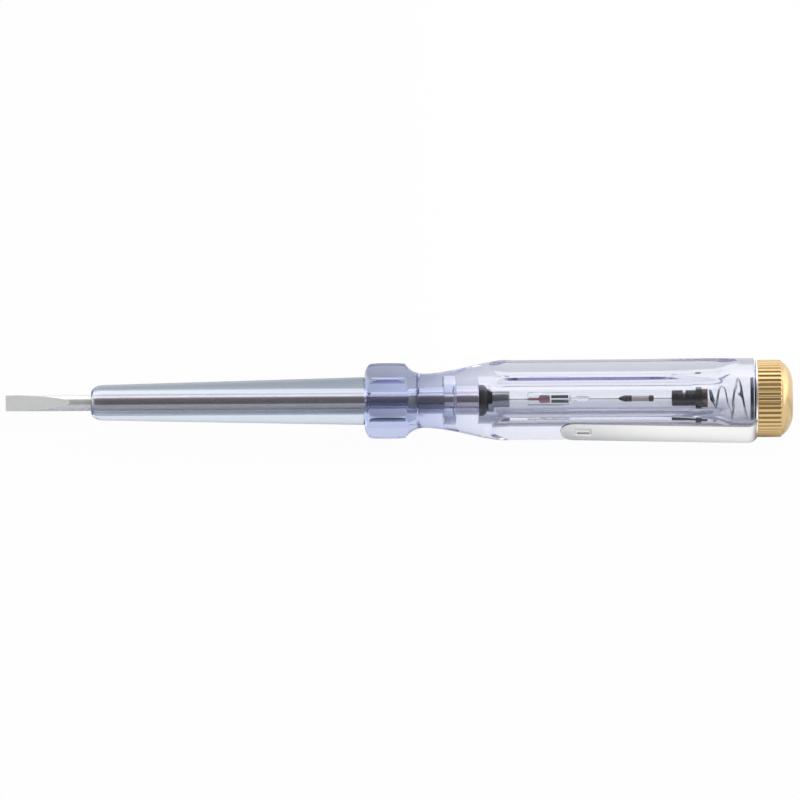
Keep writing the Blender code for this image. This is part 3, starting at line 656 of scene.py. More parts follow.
def lamp_glass():
    made, tree, shader, coordinates = new_material("lamp_glass", Transmission_Weight=1.0, IOR=GLASS_INDEX)
    haze = use_group(tree, marks_group(), coordinates, Scale=700.0, Hairlines=0.0)
    clear = blended(tree, haze, (0.95, 0.96, 0.97), (1, 1, 1))
    fill(shader, Roughness=ranged(tree, haze, 0.0, 0.05), Base_Color=clear)
    return made


def foot_glass():
    """Red-brown sealing glass, cloudier and darker in streaks."""
    made, tree, shader, coordinates = new_material("foot_glass", Transmission_Weight=0.55, IOR=GLASS_INDEX)
    streaks = use_group(tree, grain_group(), coordinates, Stretch=(0.6, 1, 1), Scale=900.0)
    red = blended(tree, streaks, (0.42, 0.1, 0.12), (0.85, 0.5, 0.5))
    fill(shader, Roughness=ranged(tree, streaks, 0.05, 0.3), Base_Color=red)
    return made


def clip_steel():
    tones = shades(settings("finish").clip, 0.04)
    return surface("clip_steel", *tones, (0.26, 0.4), (0.04, 1, 1), 7000, 0.003)


def cap_brass():
    """Turned brass, darker and duller down in the grooves of the knurl, where the darker colour is painted
    shade.
    """
    tones = settings("finish")
    made, tree, shader, coordinates = new_material("cap_brass", Metallic=1.0)
    turned = use_group(tree, grain_group(), coordinates, Stretch=(1, 0.08, 0.08), Scale=6000.0)
    worn = use_group(tree, marks_group(), coordinates, Scale=380.0, Hairlines=0.5)
    groove = node(tree, "Attribute", attribute_name="groove").outputs["Fac"]
    light, dark = shades(tones.brass, 0.07)
    fill(
        # painted shade: the groove attribute darkens the brass down in the knurl's grooves
        shader, Base_Color=blended(tree, groove, blended(tree, turned, dark, light), tones.brass_groove_shade),
        Roughness=ranged(tree, worked_out(tree, "MULTIPLY", groove, worn), 0.24, 0.5),
        Normal=relief(tree, turned, 0.4, 0.004),
    )
    return made


# Pieces


class TESTER_OT_handle(bpy.types.Operator):
    """Clear handle: turned, cut to a hexagon along collar and grip, hollow for lamp and spring"""

    bl_idname = "tester.handle"
    bl_label = "Handle"

    def outline(self, sizes):
        """The turned outline, down the outside and back through the bore."""
        front, neck_end = span("handle")
        radius = radius_of("handle")
        chamfer_end = front + sizes.collar_chamfer
        waist = front + sizes.waist_distance
        runout = waist + sizes.flare_length + sizes.grip_length
        butt = runout + sizes.butt_length
        points = [(front, sizes.socket_radius)]
        points += line(points[-1], (front, sizes.collar_face_radius), 3)
        points += quarter(points[-1], (chamfer_end, sizes.collar_radius), True, 16)
        for station, share in line((chamfer_end, 0), (front + sizes.collar_length, 1), 12):
            points.append((station, sizes.collar_radius + sizes.collar_crown * math.sin(math.pi * share)))
        hollow = sizes.waist_fillet
        lean = math.acos(1 - (sizes.collar_radius - sizes.waist_radius) / hollow)
        for turn, _ in [(lean, 0)] + line((lean, 0), (0, 0), 20):
            rise = hollow * (1 - math.cos(turn))
            points.append((waist - hollow * math.sin(turn), sizes.waist_radius + rise))
        for station, share in line((waist, 0), (waist + sizes.flare_length, 1), 64):
            points.append((station, sizes.waist_radius + (radius - sizes.waist_radius) * smooth(share)))
        points += line(points[-1], (runout - sizes.butt_edge, radius), 12)
        points += line(points[-1], (runout + sizes.runout_length, radius), 48)
        points += line(points[-1], (butt - sizes.butt_edge, radius), 3)
        points += quarter(points[-1], (butt, radius - sizes.butt_edge), False, 6)
        points.append((butt, sizes.neck_radius))
        points += line(points[-1], (neck_end - sizes.thread_depth, sizes.neck_radius), 40)
        widened = runout + sizes.chamber_widening
        points += filleted([
            (neck_end, sizes.neck_radius - sizes.thread_depth, 0),
            (neck_end, sizes.chamber_radius, FILLET),
            (widened, sizes.chamber_radius, 0),
        ])
        widening = sizes.chamber_radius - sizes.chamber_mouth
        for station, share in line((widened, 1), (runout, 0), 20):
            points.append((station, sizes.chamber_mouth + widening * smooth(share)))
        bore_end = sizes.chamber_front - sizes.chamber_step
        socket_end = front + sizes.spigot_socket
        groove_front = socket_end + sizes.seal_step
        points.append((sizes.chamber_front, sizes.chamber_mouth))
        points += filleted([
            (bore_end, sizes.bore_radius, 0),
            (groove_front + sizes.seal_groove_length, sizes.bore_radius, 0),
            (groove_front, sizes.seal_groove_radius, FILLET),
            (groove_front, sizes.shank_hole, FILLET),
            (socket_end, sizes.shank_hole, FILLET),
            (socket_end, sizes.socket_radius, FILLET),
            (span("insulating_sleeve")[1], sizes.socket_radius, 0),
            (front + sizes.butt_edge, sizes.socket_radius, 0),
        ])
        return points, waist, runout, butt

    def execute(self, context):
        sizes = settings("handle")
        points, waist, runout, butt = self.outline(sizes)
        bm = spun(points, 216)
        full_radius = radius_of("handle") + EASE
        thread_floor = (sizes.neck_radius + sizes.chamber_radius) / 2
        gather = 0.72               # how far the mesh's lines draw together at the hexagon's edges
        for vertex in bm.verts:
            station, y, z = vertex.co
            radius = math.hypot(y, z)
            angle = math.atan2(z, y)
            angle -= gather / 6 * math.sin(6 * angle)
            if station < waist:
                apothem = sizes.collar_apothem
            elif station < runout:
                share = (station - waist) / (runout - waist)
                apothem = sizes.grip_apothem + (sizes.grip_rear_apothem - sizes.grip_apothem) * share
                entry = (station - waist - sizes.flats_start) / sizes.flats_length
                apothem += (full_radius - apothem) * (1 - smooth(entry))
                rise = max((station - runout) / sizes.rear_rise_length + 1, 0)
                apothem += sizes.rear_rise * rise * rise
            else:
                apothem = sizes.grip_rear_apothem + sizes.rear_rise
                apothem += (full_radius - apothem) * smooth((station - runout) / sizes.runout_length)
            if radius > sizes.collar_face_radius and station < butt:
                radius = least(radius, hexagon_radius(angle, apothem, sizes.edge_radius), EASE)
            elif station > butt + sizes.thread_depth and radius > thread_floor:
                phase = (station - butt) / sizes.thread_pitch - angle / (2 * math.pi)
                radius -= sizes.thread_depth * abs(2 * (phase % 1) - 1)
            vertex.co = (station, radius * math.cos(angle), radius * math.sin(angle))
        press_faces(bm, (0, span("insulating_sleeve")[1]), sizes.socket_radius)
        finish_piece("clear_handle", bm, [handle_plastic(), pressed_plastic()], ["handle"])
        return {"FINISHED"}


class TESTER_OT_sleeve(bpy.types.Operator):
    """Clear insulating sleeve on the shank, with its spigot inside the handle"""

    bl_idname = "tester.sleeve"
    bl_label = "Insulating sleeve"

    def execute(self, context):
        sizes = settings("sleeve")
        front, rear = span("insulating_sleeve")
        shoulder = span("handle")[0] - TOUCH
        edge = 0.12 * MM
        points = [(front, sizes.bore_radius + edge), (front, sizes.nose_face)]
        points += quarter(points[-1], (front + sizes.nose_length, sizes.nose_radius), True, 16)
        points += line(points[-1], (shoulder - edge, sizes.rear_radius), 24)
        points += filleted([
            (shoulder, sizes.rear_radius - edge, 0),
            (shoulder, sizes.spigot_radius, edge),
            (rear, sizes.spigot_radius, edge),
            (rear, sizes.bore_radius, edge),
            (front + edge, sizes.bore_radius, 0),
        ])
        bm = spun(points, 144)
        press_faces(bm, (shoulder, rear), sizes.spigot_radius)
        paints = [sleeve_plastic(), pressed_plastic()]
        finish_piece("clear_sleeve", bm, paints, ["insulating_sleeve"])
        return {"FINISHED"}


class TESTER_OT_blade(bpy.types.Operator):
    """Steel blade and shank: a round rod ground to a flat tip"""

    bl_idname = "tester.blade"
    bl_label = "Blade"

    def grind(self, bm, radius, half_at_tip, reach, roll):
        """Cut both sides down to planes that slope from the tip out to the shank's side."""
        slope = math.atan((radius - half_at_tip) / reach)
        for side in (roll, roll + math.pi):
            outward = Vector((0, math.cos(side), math.sin(side)))
            normal = (outward * math.cos(slope) - Vector((1, 0, 0)) * math.sin(slope)).normalized()
            cut = bmesh.ops.bisect_plane(
                bm, geom=bm.verts[:] + bm.edges[:] + bm.faces[:], dist=WELD / 10,
                plane_co=outward * half_at_tip, plane_no=normal, clear_outer=True,
            )
            edges = [e for e in cut["geom_cut"] if isinstance(e, bmesh.types.BMEdge)]
            for face in bmesh.ops.contextual_create(bm, geom=edges)["faces"]:
                face.material_index = 1
            for edge in edges:
                edge.smooth = False

    def execute(self, context):
        sizes = settings("blade")
        front, rear = span("blade")
        low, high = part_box("blade")
        radius = (high.y - low.y) / 2
        rim = 0.12 * MM
        cover = span("insulating_sleeve")[0]
        outline = [(front, 0), (front, radius)]
        outline += line(outline[-1], (cover, radius), 8)
        outline += line(outline[-1], (rear - rim, radius), 24)
        outline += quarter(outline[-1], (rear, radius - rim), False, 3)
        outline.append((rear, 0))
        bm = spun(outline, 96)
        for face in bm.faces:
            face.material_index = 2 if face.calc_center_median().x < cover else 0
        self.grind(bm, radius, sizes.tip_thickness / 2, sizes.flat_length, BLADE_ROLL)
        self.grind(bm, radius, sizes.width / 2, sizes.side_length, BLADE_ROLL + math.pi / 2)
        bmesh.ops.recalc_face_normals(bm, faces=bm.faces)
        paints = [plated_steel(), ground_steel(), bare_steel()]
        finish_piece("steel_blade", bm, paints, ["blade"])
        return {"FINISHED"}


class TESTER_OT_seal_and_ferrule(bpy.types.Operator):
    """Domed rubber seal on the shank and the metal ferrule on its end"""

    bl_idname = "tester.seal_and_ferrule"
    bl_label = "Seal and ferrule"

    def execute(self, context):
        handle = settings("handle")
        hole = handle.shank_hole - FILLET
        groove = span("handle")[0] + handle.spigot_socket + handle.seal_step
        front, rear = groove + TOUCH, span("shank_seal")[1]
        radius = handle.seal_groove_radius - 3 * TOUCH
        points = [(front + FILLET, hole), (front, hole + FILLET), (front, radius - FILLET)]
        points += quarter(points[-1], (front + FILLET, radius), True, 4)
        points.append((front + (rear - front) / 4, radius))
        points += quarter(points[-1], (rear, hole), False, 12)
        finish_piece("rubber_seal", spun(points, 64), [plain("seal_rubber")], ["shank_seal"])

        front, rear = rear + TOUCH, span("contact_ferrule")[1]
        radius = radius_of("contact_ferrule")
        wall = radius - hole
        corners = [(front, hole, 0), (front, radius, wall / 3), (rear, radius, wall / 2), (rear, 0, 0)]
        bm = spun(filleted([*corners, (rear - wall, 0, 0), (rear - wall, hole, 0)], 5), 64)
        finish_piece("shank_ferrule", bm, [plain("ferrule_metal")], ["contact_ferrule"])
        return {"FINISHED"}


class TESTER_OT_lamp(bpy.types.Operator):
    """Glow lamp: glass bulb with a pinched tip, red foot, two electrodes and two wires"""

    bl_idname = "tester.lamp"
    bl_label = "Glow lamp"

    def execute(self, context):
        sizes = settings("lamp")
        self.glass(sizes)
        self.foot(sizes)
        dark = plain("electrode_metal")
        for name in ("lamp_electrode_upper", "lamp_electrode_lower"):
            low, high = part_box(name)
            _, y, z = (low + high) / 2
            stations = (low.x, high.x + sizes.electrode_radius)
            bm = rod(stations, sizes.electrode_radius, FILLET, 32, (y, z))
            finish_piece(name.replace("lamp_electrode", "electrode"), bm, [dark], [name])
        tin = plain("tinned_wire")
        for name in ("lamp_lead_front", "lamp_lead_rear"):
            front, rear = span(name)
            bm = rod((front - FIT_GAP, rear + FIT_GAP), sizes.lead_radius, TOUCH)
            finish_piece(name.replace("lamp_lead", "wire"), bm, [tin], [name])
        return {"FINISHED"}

    def glass(self, sizes):
        front, end = span("lamp_glass")
        radius = radius_of("lamp_glass")
        inner = radius - sizes.wall
        body_end = front + sizes.body_length
        dome = body_end - sizes.dome_length
        neck = body_end + sizes.tip_neck
        points = [(front, inner)]
        points += quarter(points[-1], (front + sizes.wall / 2, radius), True, 5)
        points += line(points[-1], (dome, radius), 4)
        points += quarter(points[-1], (body_end, sizes.tip_neck), False, 10)
        points += filleted([
            (body_end, sizes.tip_neck, 0),
            (neck, sizes.tip_neck, sizes.tip_neck),
            (neck + sizes.tip_radius, sizes.tip_radius, sizes.tip_radius),
            (end - sizes.tip_radius, sizes.tip_radius, 0),
        ])[1:]
        points += quarter(points[-1], (end, 0), False, 8)
        points.append((body_end - sizes.wall, 0))
        points += quarter(points[-1], (dome, inner), True, 8)
        finish_piece("lamp_bulb", spun(points, 64), [lamp_glass()], ["lamp_glass"])

    def foot(self, sizes):
        """A thin stem of glass that swells to a bead in front of the electrodes."""
        front, rear = span("lamp_foot")
        stem_end = front + sizes.stem_length
        swell_end = stem_end + (rear - stem_end) / 3
        points = [(front, 0)]
        points += quarter(points[-1], (front + sizes.stem_radius / 2, sizes.stem_radius), True, 4)
        points += line(points[-1], (stem_end, sizes.stem_radius), 3)
        points += quarter(points[-1], (swell_end, radius_of("lamp_foot")), True, 8)
        points += quarter(points[-1], (rear, sizes.electrode_radius * 2), False, 10)
        points.append((rear, 0))
        finish_piece("lamp_seal", spun(points, 48), [foot_glass()], ["lamp_foot"])


class TESTER_OT_resistor(bpy.types.Operator):
    """Lacquered resistor with its end caps and its wire"""

    bl_idname = "tester.resistor"
    bl_label = "Resistor"

    def execute(self, context):
        lead = settings("lamp").lead_radius
        paints = [plain("resistor_cap_metal")]
        rim, slimmer = 0.06 * MM, 0.9
        front, rear = span("resistor_front_cap")
        radius = radius_of("resistor_front_cap")
        points = [(front, 0), (front, lead)]
        points += quarter(points[-1], ((front + rear) / 2, radius), True, 10, 1.4)
        points += filleted([(points[-1][0], radius, 0), (rear, radius, rim), (rear, 0, 0)])[1:]
        finish_piece("resistor_nose", spun(points, 48), paints, ["resistor_front_cap"])

        stations = (rear + TOUCH, span("resistor_rear_cap")[0] - TOUCH)
        bm = rod(stations, slimmer * radius, 0.08 * MM, 48)
        finish_piece("resistor_rod", bm, [plain("resistor_lacquer")], ["resistor_body"])

        front, rear = span("resistor_rear_cap")
        points = filleted([(front, 0, 0), (front, radius, rim), (rear, radius, radius / 3), (rear, 0, 0)], 6)
        finish_piece("resistor_tail", spun(points, 48), paints, ["resistor_rear_cap"])

        front, rear = span("resistor_lead")
        bm = rod((front - FIT_GAP, rear + FIT_GAP), lead, TOUCH)
        finish_piece("resistor_wire", bm, [plain("tinned_wire")], ["resistor_lead"])
        return {"FINISHED"}


class TESTER_OT_contact_plug(bpy.types.Operator):
    """Black plug with a notched nose and a flange, and the copper ring behind it"""

    bl_idname = "tester.contact_plug"
    bl_label = "Contact plug"

    def execute(self, context):
        handle, sizes = settings("handle"), settings("plug")
        front, rear = span("contact_plug")
        radius = radius_of("contact_plug")
        ledge = handle.chamber_front + FIT_GAP
        nose = handle.bore_radius - sizes.nose_gap
        floor = nose - sizes.notch_depth
        middle = front + (ledge - front) / 2
        half, slope = sizes.notch_half, 0.1     # the notch's walls lean out by this share of its half
        rim = 0.12 * MM
        nose_corners = [(front, 0, 0), (front, nose, rim), (ledge, nose, 0)]
        outline = []
        for point in filleted([*nose_corners, (ledge, radius, rim), (rear, radius, rim), (rear, 0, 0)]):
            outline.append(point)
            if point[0] < middle and abs(point[1] - nose) < rim / 100:
                places = (-1 - slope, -1, 1, 1 + slope)
                outline += [(middle + half * place, nose) for place in places]
        bm = spun(outline, 96)
        up = BLADE_ROLL - HEXAGON_TURN
        for vertex in bm.verts:
            station, y, z = vertex.co
            drop = y * math.cos(up) + z * math.sin(up) - floor
            if abs(station - middle) < half * (1 + slope / 2) and drop > 0:
                vertex.co.y -= drop * math.cos(up)
                vertex.co.z -= drop * math.sin(up)
        finish_piece("plug", bm, [plain("plug_plastic")], ["contact_plug"])

        stations = (rear + TOUCH, span("contact_ring")[1])
        bm = spun(washer(*stations, sizes.ring_hole, radius_of("contact_ring"), FILLET), 64)
        finish_piece("copper_ring", bm, [plain("contact_copper")], ["contact_ring"])
        return {"FINISHED"}


class TESTER_OT_spring(bpy.types.Operator):
    """Open wire spring that widens from the contact ring and stretches to the cap"""

    bl_idname = "tester.spring"
    bl_label = "Contact spring"

    def execute(self, context):
        sizes = settings("spring")
        front, rear = span("contact_spring")
        coil_front, coil_rear = front + sizes.wire / 2, rear - sizes.wire / 2
        turns = (coil_rear - coil_front) / sizes.pitch + sizes.closed_turns
        count = round(turns * 48)
        route = []
        for i in range(count + 1):
            turn = turns * i / count
            opened = turn - sizes.closed_turns * (1 - math.exp(-turn / sizes.closed_turns))
            station = min(coil_front + sizes.pitch * opened, coil_rear)
            grown = min((station - coil_front) / sizes.taper, 1)
            radius = sizes.coil_radius - (sizes.coil_radius - sizes.front_radius) * (1 - grown) ** 2
            angle = sizes.start_angle - 2 * math.pi * turn
            route.append((station, radius * math.cos(angle), radius * math.sin(angle)))
        route.insert(0, (front, *route[0][1:]))
        route.append((rear, *route[-1][1:]))
        curve = bpy.data.curves.new("spring_route", "CURVE")
        curve.dimensions = "3D"
        spline = curve.splines.new("POLY")
        spline.points.add(len(route) - 1)
        for point, place in zip(spline.points, route):
            point.co = (*place, 1)
        curve.bevel_depth = sizes.wire / 2
        curve.bevel_resolution = 4
        curve.use_fill_caps = True
        drawn = bpy.data.objects.new("spring_route", curve)
        context.scene.collection.objects.link(drawn)
        bm = bmesh.new()
        bm.from_mesh(worked_mesh(context, drawn))
        bpy.data.objects.remove(drawn)
        bmesh.ops.remove_doubles(bm, verts=bm.verts, dist=MM / 1000)
        bmesh.ops.recalc_face_normals(bm, faces=bm.faces)
        spring = finish_piece("spring", bm, [plain("spring_wire")], ["contact_spring"], None)
        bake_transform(spring)
        return {"FINISHED"}


class TESTER_OT_cap(bpy.types.Operator):
    """Brass screw cap: knurled band, domed end, threaded inside"""

    bl_idname = "tester.cap"
    bl_label = "Screw cap"

    def execute(self, context):
        sizes = settings("cap")
        end = span("cap")[1]
        radius = radius_of("cap")
        ring_front, ring_rear = span("clip_ring")
        front, butt = ring_rear + TOUCH, ring_front - FIT_GAP
        knurl_end = ring_rear + FIT_GAP + sizes.knurl_length
        shoulder = knurl_end + sizes.shoulder_drop
        depth = sizes.knurl_depth
        points = [(front, sizes.cavity_radius), (front, radius - depth / 4)]
        points += line(points[-1], (front + depth / 4, radius), 2)
        points += line(points[-1], (knurl_end, radius), 10)
        points += quarter(points[-1], (shoulder, radius - sizes.shoulder_drop), False, 5)
        points += quarter(points[-1], (end, sizes.face_radius), False, 24, sizes.dome_fullness)
        points += line(points[-1], (end, 0), 6)
        points += filleted([
            (butt - sizes.boss_reach, 0, 0),
            (butt - sizes.boss_reach, sizes.boss_radius, 2 * FILLET),
            (end - sizes.end_wall, sizes.boss_radius, 0),
            (end - sizes.end_wall, sizes.cavity_radius, 0),
        ])
        points += line(points[-1], (front, sizes.cavity_radius), 40)[:-1]
        bm = spun(points, sizes.knurl_count * 8)
        # how deep each corner lies in a groove, which carries the painted shade in the grooves
        groove = bm.verts.layers.float.new("groove")
        for vertex in bm.verts:
            station, y, z = vertex.co
            out = math.hypot(y, z)
            if out < sizes.cavity_radius + depth or station > shoulder:
                continue
            phase = math.atan2(z, y) / (2 * math.pi) * sizes.knurl_count % 1
            floor = radius - depth * max(1 - 2 * abs(2 * phase - 1), 0)
            if out > floor:
                vertex[groove] = min((out - floor) / depth, 1)
                vertex.co.y *= floor / out
                vertex.co.z *= floor / out
        # the boss inside the cap gets the second paint, a dark painted shade
        for face in bm.faces:
            face.material_index = 1 if min(v.co.x for v in face.verts) < front - TOUCH else 0
        paints = [cap_brass(), plain("cap_boss")]
        finish_piece("brass_cap", bm, paints, ["cap"], "cap", math.radians(50))
        return {"FINISHED"}


class TESTER_OT_clip(bpy.types.Operator):
    """Pocket clip bent from one strip, with a ring that the cap clamps to the butt"""

    bl_idname = "tester.clip"
    bl_label = "Pocket clip"

    GRID = (150, 26)            # corners of the mesh along and across the strip
    FLEX = 8                    # the part that flexes, in bend radii

    def dimple(self, sizes, along, across):
        """How deep the pressed dimple is at a place on the arm, as a share of its depth."""
        inside_along = sizes.dimple_length / 2 - abs(along - sizes.dimple_place)
        inside_across = sizes.dimple_width / 2 - abs(across)
        return smooth(min(inside_along, inside_across) / sizes.dimple_edge + 0.5)

    def shaded_edge(self, face, tip_end):
        """Whether a face lies on the strip's edge, on its long sides or round its tip, where the strip gets a
        darker painted shade.
        """
        at_tip = face.calc_center_median().x < tip_end
        return abs(face.normal.y) > 0.92 or (at_tip and abs(face.normal.z) < 0.3)

    def strip(self, sizes, hole):
        """The bent strip with +Z outward, from the arm's tip to the ring."""
        ring_front = span("clip_ring")[0]
        half = sizes.width / 2
        seat = radius_of("handle") + FIT_GAP
        tip_seat = settings("handle").grip_apothem + sizes.front_lift
        bend = sizes.bend_radius - sizes.thickness
        arm_front = ring_front - FIT_GAP - sizes.arm_length
        arm_rear = ring_front - bend
        reach = arm_rear - arm_front
        sweep = bend * math.pi / 2
        total = reach + sweep + seat - bend - hole
        lean = (seat - tip_seat) / reach
        bm = bmesh.new()
        bmesh.ops.create_grid(bm, x_segments=self.GRID[0], y_segments=self.GRID[1], size=0.5)
        for vertex in bm.verts:
            along = total * (vertex.co.x + 0.5)
            width = math.sqrt(max(half * half - max(half - along, 0) ** 2, 0))
            across = max(min(vertex.co.y * 2, 1), -1) * width
            if along < reach:
                drop = sizes.dimple_depth * self.dimple(sizes, along, across)
                vertex.co = (arm_front + along, across, tip_seat + lean * along - drop)
            elif along < reach + sweep:
                turn = (along - reach) / bend
                vertex.co = (arm_rear + bend * math.sin(turn), across, seat - bend * (1 - math.cos(turn)))
            else:
                vertex.co = (ring_front, across, seat - bend - (along - reach - sweep))
        bmesh.ops.remove_doubles(bm, verts=bm.verts, dist=WELD)
        bmesh.ops.recalc_face_normals(bm, faces=bm.faces)
        if sum(face.normal.z * face.calc_area() for face in bm.faces) < 0:
            bmesh.ops.reverse_faces(bm, faces=bm.faces)
        bmesh.ops.solidify(bm, geom=bm.faces[:], thickness=-sizes.thickness)
        bmesh.ops.recalc_face_normals(bm, faces=bm.faces)
        # faces on the strip's edges get the second paint, a darker painted shade
        for face in bm.faces:
            face.material_index = 1 if self.shaded_edge(face, arm_front + half) else 0
        return bm

    def execute(self, context):
        sizes = settings("clip")
        ring_front, ring_rear = span("clip_ring")
        hole = settings("handle").neck_radius + FIT_GAP
        bm = self.strip(sizes, hole)
        turn = Matrix.Rotation(CLIP_ROLL - math.pi / 2, 3, "X")
        bmesh.ops.rotate(bm, cent=(0, 0, 0), matrix=turn, verts=bm.verts)
        paints = [clip_steel(), plain("clip_edge")]
        clip = finish_piece("pocket_clip", bm, paints, ["clip_arm", "clip_ring"], None)

        bm = spun(washer(ring_front, ring_rear, hole, radius_of("clip_ring"), 0.06 * MM, 2), 120)
        ring = new_object("ring", bm)
        join = clip.modifiers.new("ring", "BOOLEAN")
        join.operation = "UNION"
        join.solver = "EXACT"
        join.object = ring
        joined = worked_mesh(context, clip)
        clip.modifiers.clear()
        clip.data = joined
        bpy.data.objects.remove(ring)
        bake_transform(clip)
        return {"FINISHED"}


class TESTER_OT_stage(bpy.types.Operator):
    """Pale floor with painted light and shade where metal and glass see it, white surroundings with a darker
    room behind the camera, and the photo's camera
    """

    bl_idname = "tester.stage"
    bl_label = "Stage"

    BOUNCES, MIRROR_BOUNCES = 40, 12
    FLOOR_HALF = 6.0
    CAMERA_WHITE = 0.97         # how white the camera sees the floor

    # Where the floor's painted light and shade start and end along an axis
    ZONES = {
        "handle": ("X", 0.06, 0.085), "near": ("Y", -0.03, -0.004), "behind": ("Y", -0.006, 0.024),
        "clip": ("X", 0.08, 0.12), "in_front": ("Y", -0.0035, -0.0075),
        "strip_start": ("Y", 0.002, 0.006), "strip_end": ("Y", 0.018, 0.012),
    }

    def execute(self, context):
        studio = settings("studio")
        scene = context.scene
        scene.view_settings.view_transform = "Standard"
        scene.cycles.max_bounces = self.BOUNCES
        scene.cycles.transmission_bounces = self.BOUNCES
        scene.cycles.glossy_bounces = self.MIRROR_BOUNCES
        self.floor(studio.floor_shade)
        self.camera(scene, studio)
        self.surroundings(scene, studio)
        return {"FINISHED"}

    def whiteness(self, tree, bright):
        """How white the floor is: nearly fully to the camera, and to metal and glass where it is painted
        bright.
        """
        path = node(tree, "LightPath").outputs
        sent_on = worked_out(tree, "MAXIMUM", path["Is Glossy Ray"], path["Is Transmission Ray"])
        part = worked_out(tree, "MULTIPLY", sent_on, bright)
        most = worked_out(tree, "MULTIPLY", path["Is Camera Ray"], self.CAMERA_WHITE)
        return worked_out(tree, "MAXIMUM", part, most)

    def zone(self, tree, place, *names):
        """Rises smoothly from 0 to 1 where all of the named zones do."""
        total = 1.0
        for name in names:
            axis, start, end = self.ZONES[name]
            rise = node(
                tree, "MapRange", Value=place.outputs[axis], From_Min=start, From_Max=end,
                interpolation_type="SMOOTHSTEP",
            )
            total = worked_out(tree, "MULTIPLY", rise.outputs[0], total)
        return total

    def floor(self, shade):
        bm = bmesh.new()
        bmesh.ops.create_grid(bm, x_segments=1, y_segments=1, size=self.FLOOR_HALF)
        bmesh.ops.translate(bm, vec=(0, 0, CAD_BOX[0].z), verts=bm.verts)
        floor = new_object("floor", bm)
        paint = bpy.data.materials.new("floor")
        paint.use_nodes = True
        tree = paint.node_tree
        tree.nodes.clear()
        place = node(tree, "SeparateXYZ", node(tree, "TexCoord").outputs["Object"])
        # painted light: brighter patches behind the handle and in front of the clip, seen only by metal and
        # glass
        behind = self.zone(tree, place, "behind", "handle")
        in_front = self.zone(tree, place, "in_front", "clip")
        bright = worked_out(tree, "MAXIMUM", behind, in_front)
        # painted shade: the lit floor is paler near the handle and darker far in front, by the floor shade
        near = self.zone(tree, place, "near", "handle")
        tone = blended(tree, near, (0.9 * shade, 0.94 * shade, shade), (0.84, 0.88, 0.94))
        # painted shadow: a dark strip on the floor just behind the tool
        tone = blended(tree, self.zone(tree, place, "strip_start", "strip_end"), tone, (0.42, 0.44, 0.47))
        lit = node(tree, "BsdfDiffuse", Color=tone).outputs[0]
        white = node(tree, "Emission", Strength=1.0).outputs[0]
        front = node(tree, "MixShader", self.whiteness(tree, bright), lit, white).outputs[0]
        through = node(tree, "BsdfTransparent").outputs[0]
        both = node(tree, "MixShader", node(tree, "NewGeometry").outputs["Backfacing"], front, through)
        node(tree, "OutputMaterial", both.outputs[0])
        floor.data.materials.append(paint)

    def camera(self, scene, studio):
        """The photo's camera, worked out from where the tool lies in the photo."""
        data = bpy.data.cameras.new("photo_camera")
        data.sensor_width = 36.0
        data.lens = data.sensor_width / 2 / math.tan(studio.field / 2)
        data.clip_start = 0.01
        toward = Vector((0, -math.cos(studio.elevation), math.sin(studio.elevation)))
        up = Vector((0, math.sin(studio.elevation), math.cos(studio.elevation)))
        middle = studio.photo_side / 2
        target = Vector(((middle - studio.tip_column) / studio.photo_scale, 0, 0))
        target += up * studio.axis_row / studio.photo_scale
        distance = middle / studio.photo_scale / math.tan(studio.field / 2)
        camera = bpy.data.objects.new("photo_camera", data)
        scene.collection.objects.link(camera)
        turn = (-toward).to_track_quat("-Z", "Y").to_matrix().to_4x4()
        turn = turn @ Matrix.Rotation(studio.roll, 4, "Z")
        camera.matrix_world = Matrix.Translation(target + toward * distance) @ turn
        scene.camera = camera

    def surroundings(self, scene, studio):
        """White to the camera. Metal and glass see bands from its side, over the top, to behind the tool."""
        world = bpy.data.worlds.new("surroundings")
        scene.world = world
        world.use_nodes = True
        tree = world.node_tree
        tree.nodes.clear()
        way = node(tree, "SeparateXYZ", node(tree, "TexCoord").outputs["Generated"]).outputs
        toward = worked_out(tree, "MULTIPLY", way["Y"], -1.0)
        rise = worked_out(tree, "ARCTAN2", way["Z"], toward)
        level = node(tree, "ValToRGB", worked_out(tree, "DIVIDE", rise, math.pi))
        dark, overhead, backdrop = studio.dark_side, studio.overhead, studio.backdrop
        room = [
            (0, dark * 1.3), (20, dark), (62, dark * 1.3), (76, dark * 2.2), (84, overhead / 2),
            (92, overhead), (108, overhead), (122, backdrop * 1.25), (140, backdrop), (180, backdrop),
        ]
        stops = level.color_ramp.elements
        while len(stops) < len(room):
            stops.new(0.5)
        for stop, (degrees, bright) in zip(stops, room):
            stop.position = degrees / 180
            stop.color = (bright, bright, bright, 1)
        right = node(tree, "MapRange", Value=way["X"], From_Min=0.4, From_Max=0.95).outputs[0]
        sides = mixed(tree, right, level.outputs["Color"], studio.side_wall)
        seen = mixed(tree, node(tree, "LightPath").outputs["Is Camera Ray"], sides, 1.0)
        light = node(tree, "Background", Color=(1, 1, 1), Strength=seen)
        node(tree, "OutputWorld", light.outputs[0])


# The add-on

GROUPS = {
    "handle": HandleSizes, "sleeve": SleeveSizes, "blade": BladeSizes, "plug": PlugSizes, "cap": CapSizes,
    "clip": ClipSizes, "lamp": LampSizes, "spring": SpringSizes, "finish": FinishColours,
    "studio": StudioSettings,
}

OPERATORS = (
    TESTER_OT_handle, TESTER_OT_sleeve, TESTER_OT_blade, TESTER_OT_seal_and_ferrule, TESTER_OT_lamp,
    TESTER_OT_resistor, TESTER_OT_contact_plug, TESTER_OT_spring, TESTER_OT_cap, TESTER_OT_clip,
    TESTER_OT_stage,
)


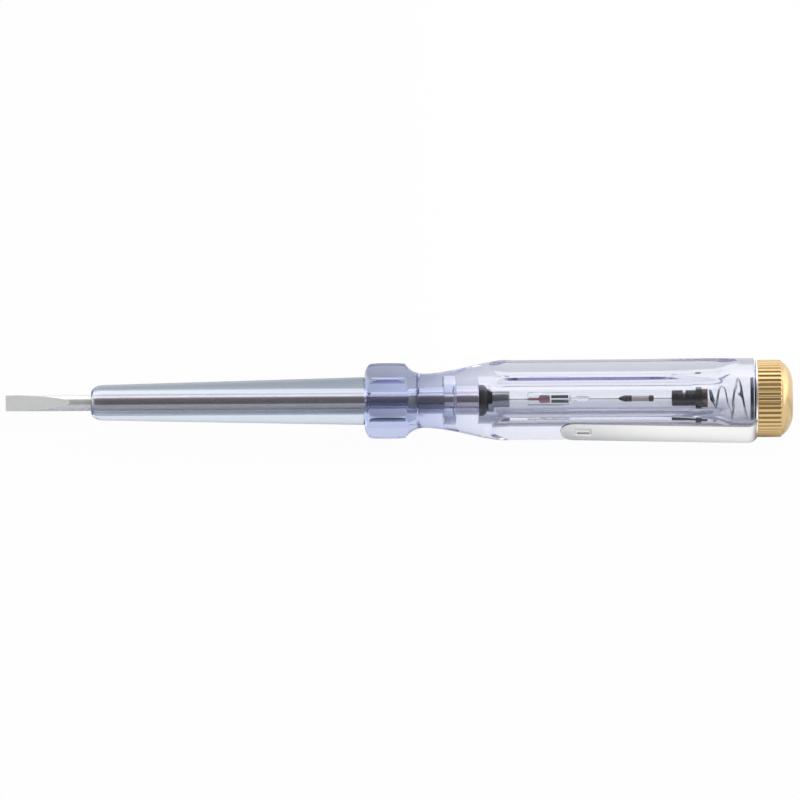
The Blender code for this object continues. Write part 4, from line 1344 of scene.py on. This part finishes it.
class TESTER_PT_pieces(bpy.types.Panel):
    """Lists the tool's pieces in the order in which they are made"""

    bl_idname = "TESTER_PT_pieces"
    bl_label = "Voltage tester"
    bl_space_type = "VIEW_3D"
    bl_region_type = "UI"
    bl_category = "Tester"

    def draw(self, context):
        for operator in OPERATORS:
            self.layout.operator(operator.bl_idname)


def register():
    for kind in (*GROUPS.values(), *OPERATORS, TESTER_PT_pieces):
        bpy.utils.register_class(kind)
    for name, kind in GROUPS.items():
        setattr(bpy.types.Scene, "tester_" + name, PointerProperty(type=kind))


def unregister():
    for name in GROUPS:
        delattr(bpy.types.Scene, "tester_" + name)
    for kind in (TESTER_PT_pieces, *reversed(OPERATORS), *reversed(GROUPS.values())):
        bpy.utils.unregister_class(kind)


def main():
    register()
    bpy.ops.tester.handle()
    bpy.ops.tester.sleeve()
    bpy.ops.tester.blade()
    bpy.ops.tester.seal_and_ferrule()
    bpy.ops.tester.lamp()
    bpy.ops.tester.resistor()
    bpy.ops.tester.contact_plug()
    bpy.ops.tester.spring()
    bpy.ops.tester.cap()
    bpy.ops.tester.clip()
    bpy.ops.tester.stage()


if __name__ == "__main__":
    main()
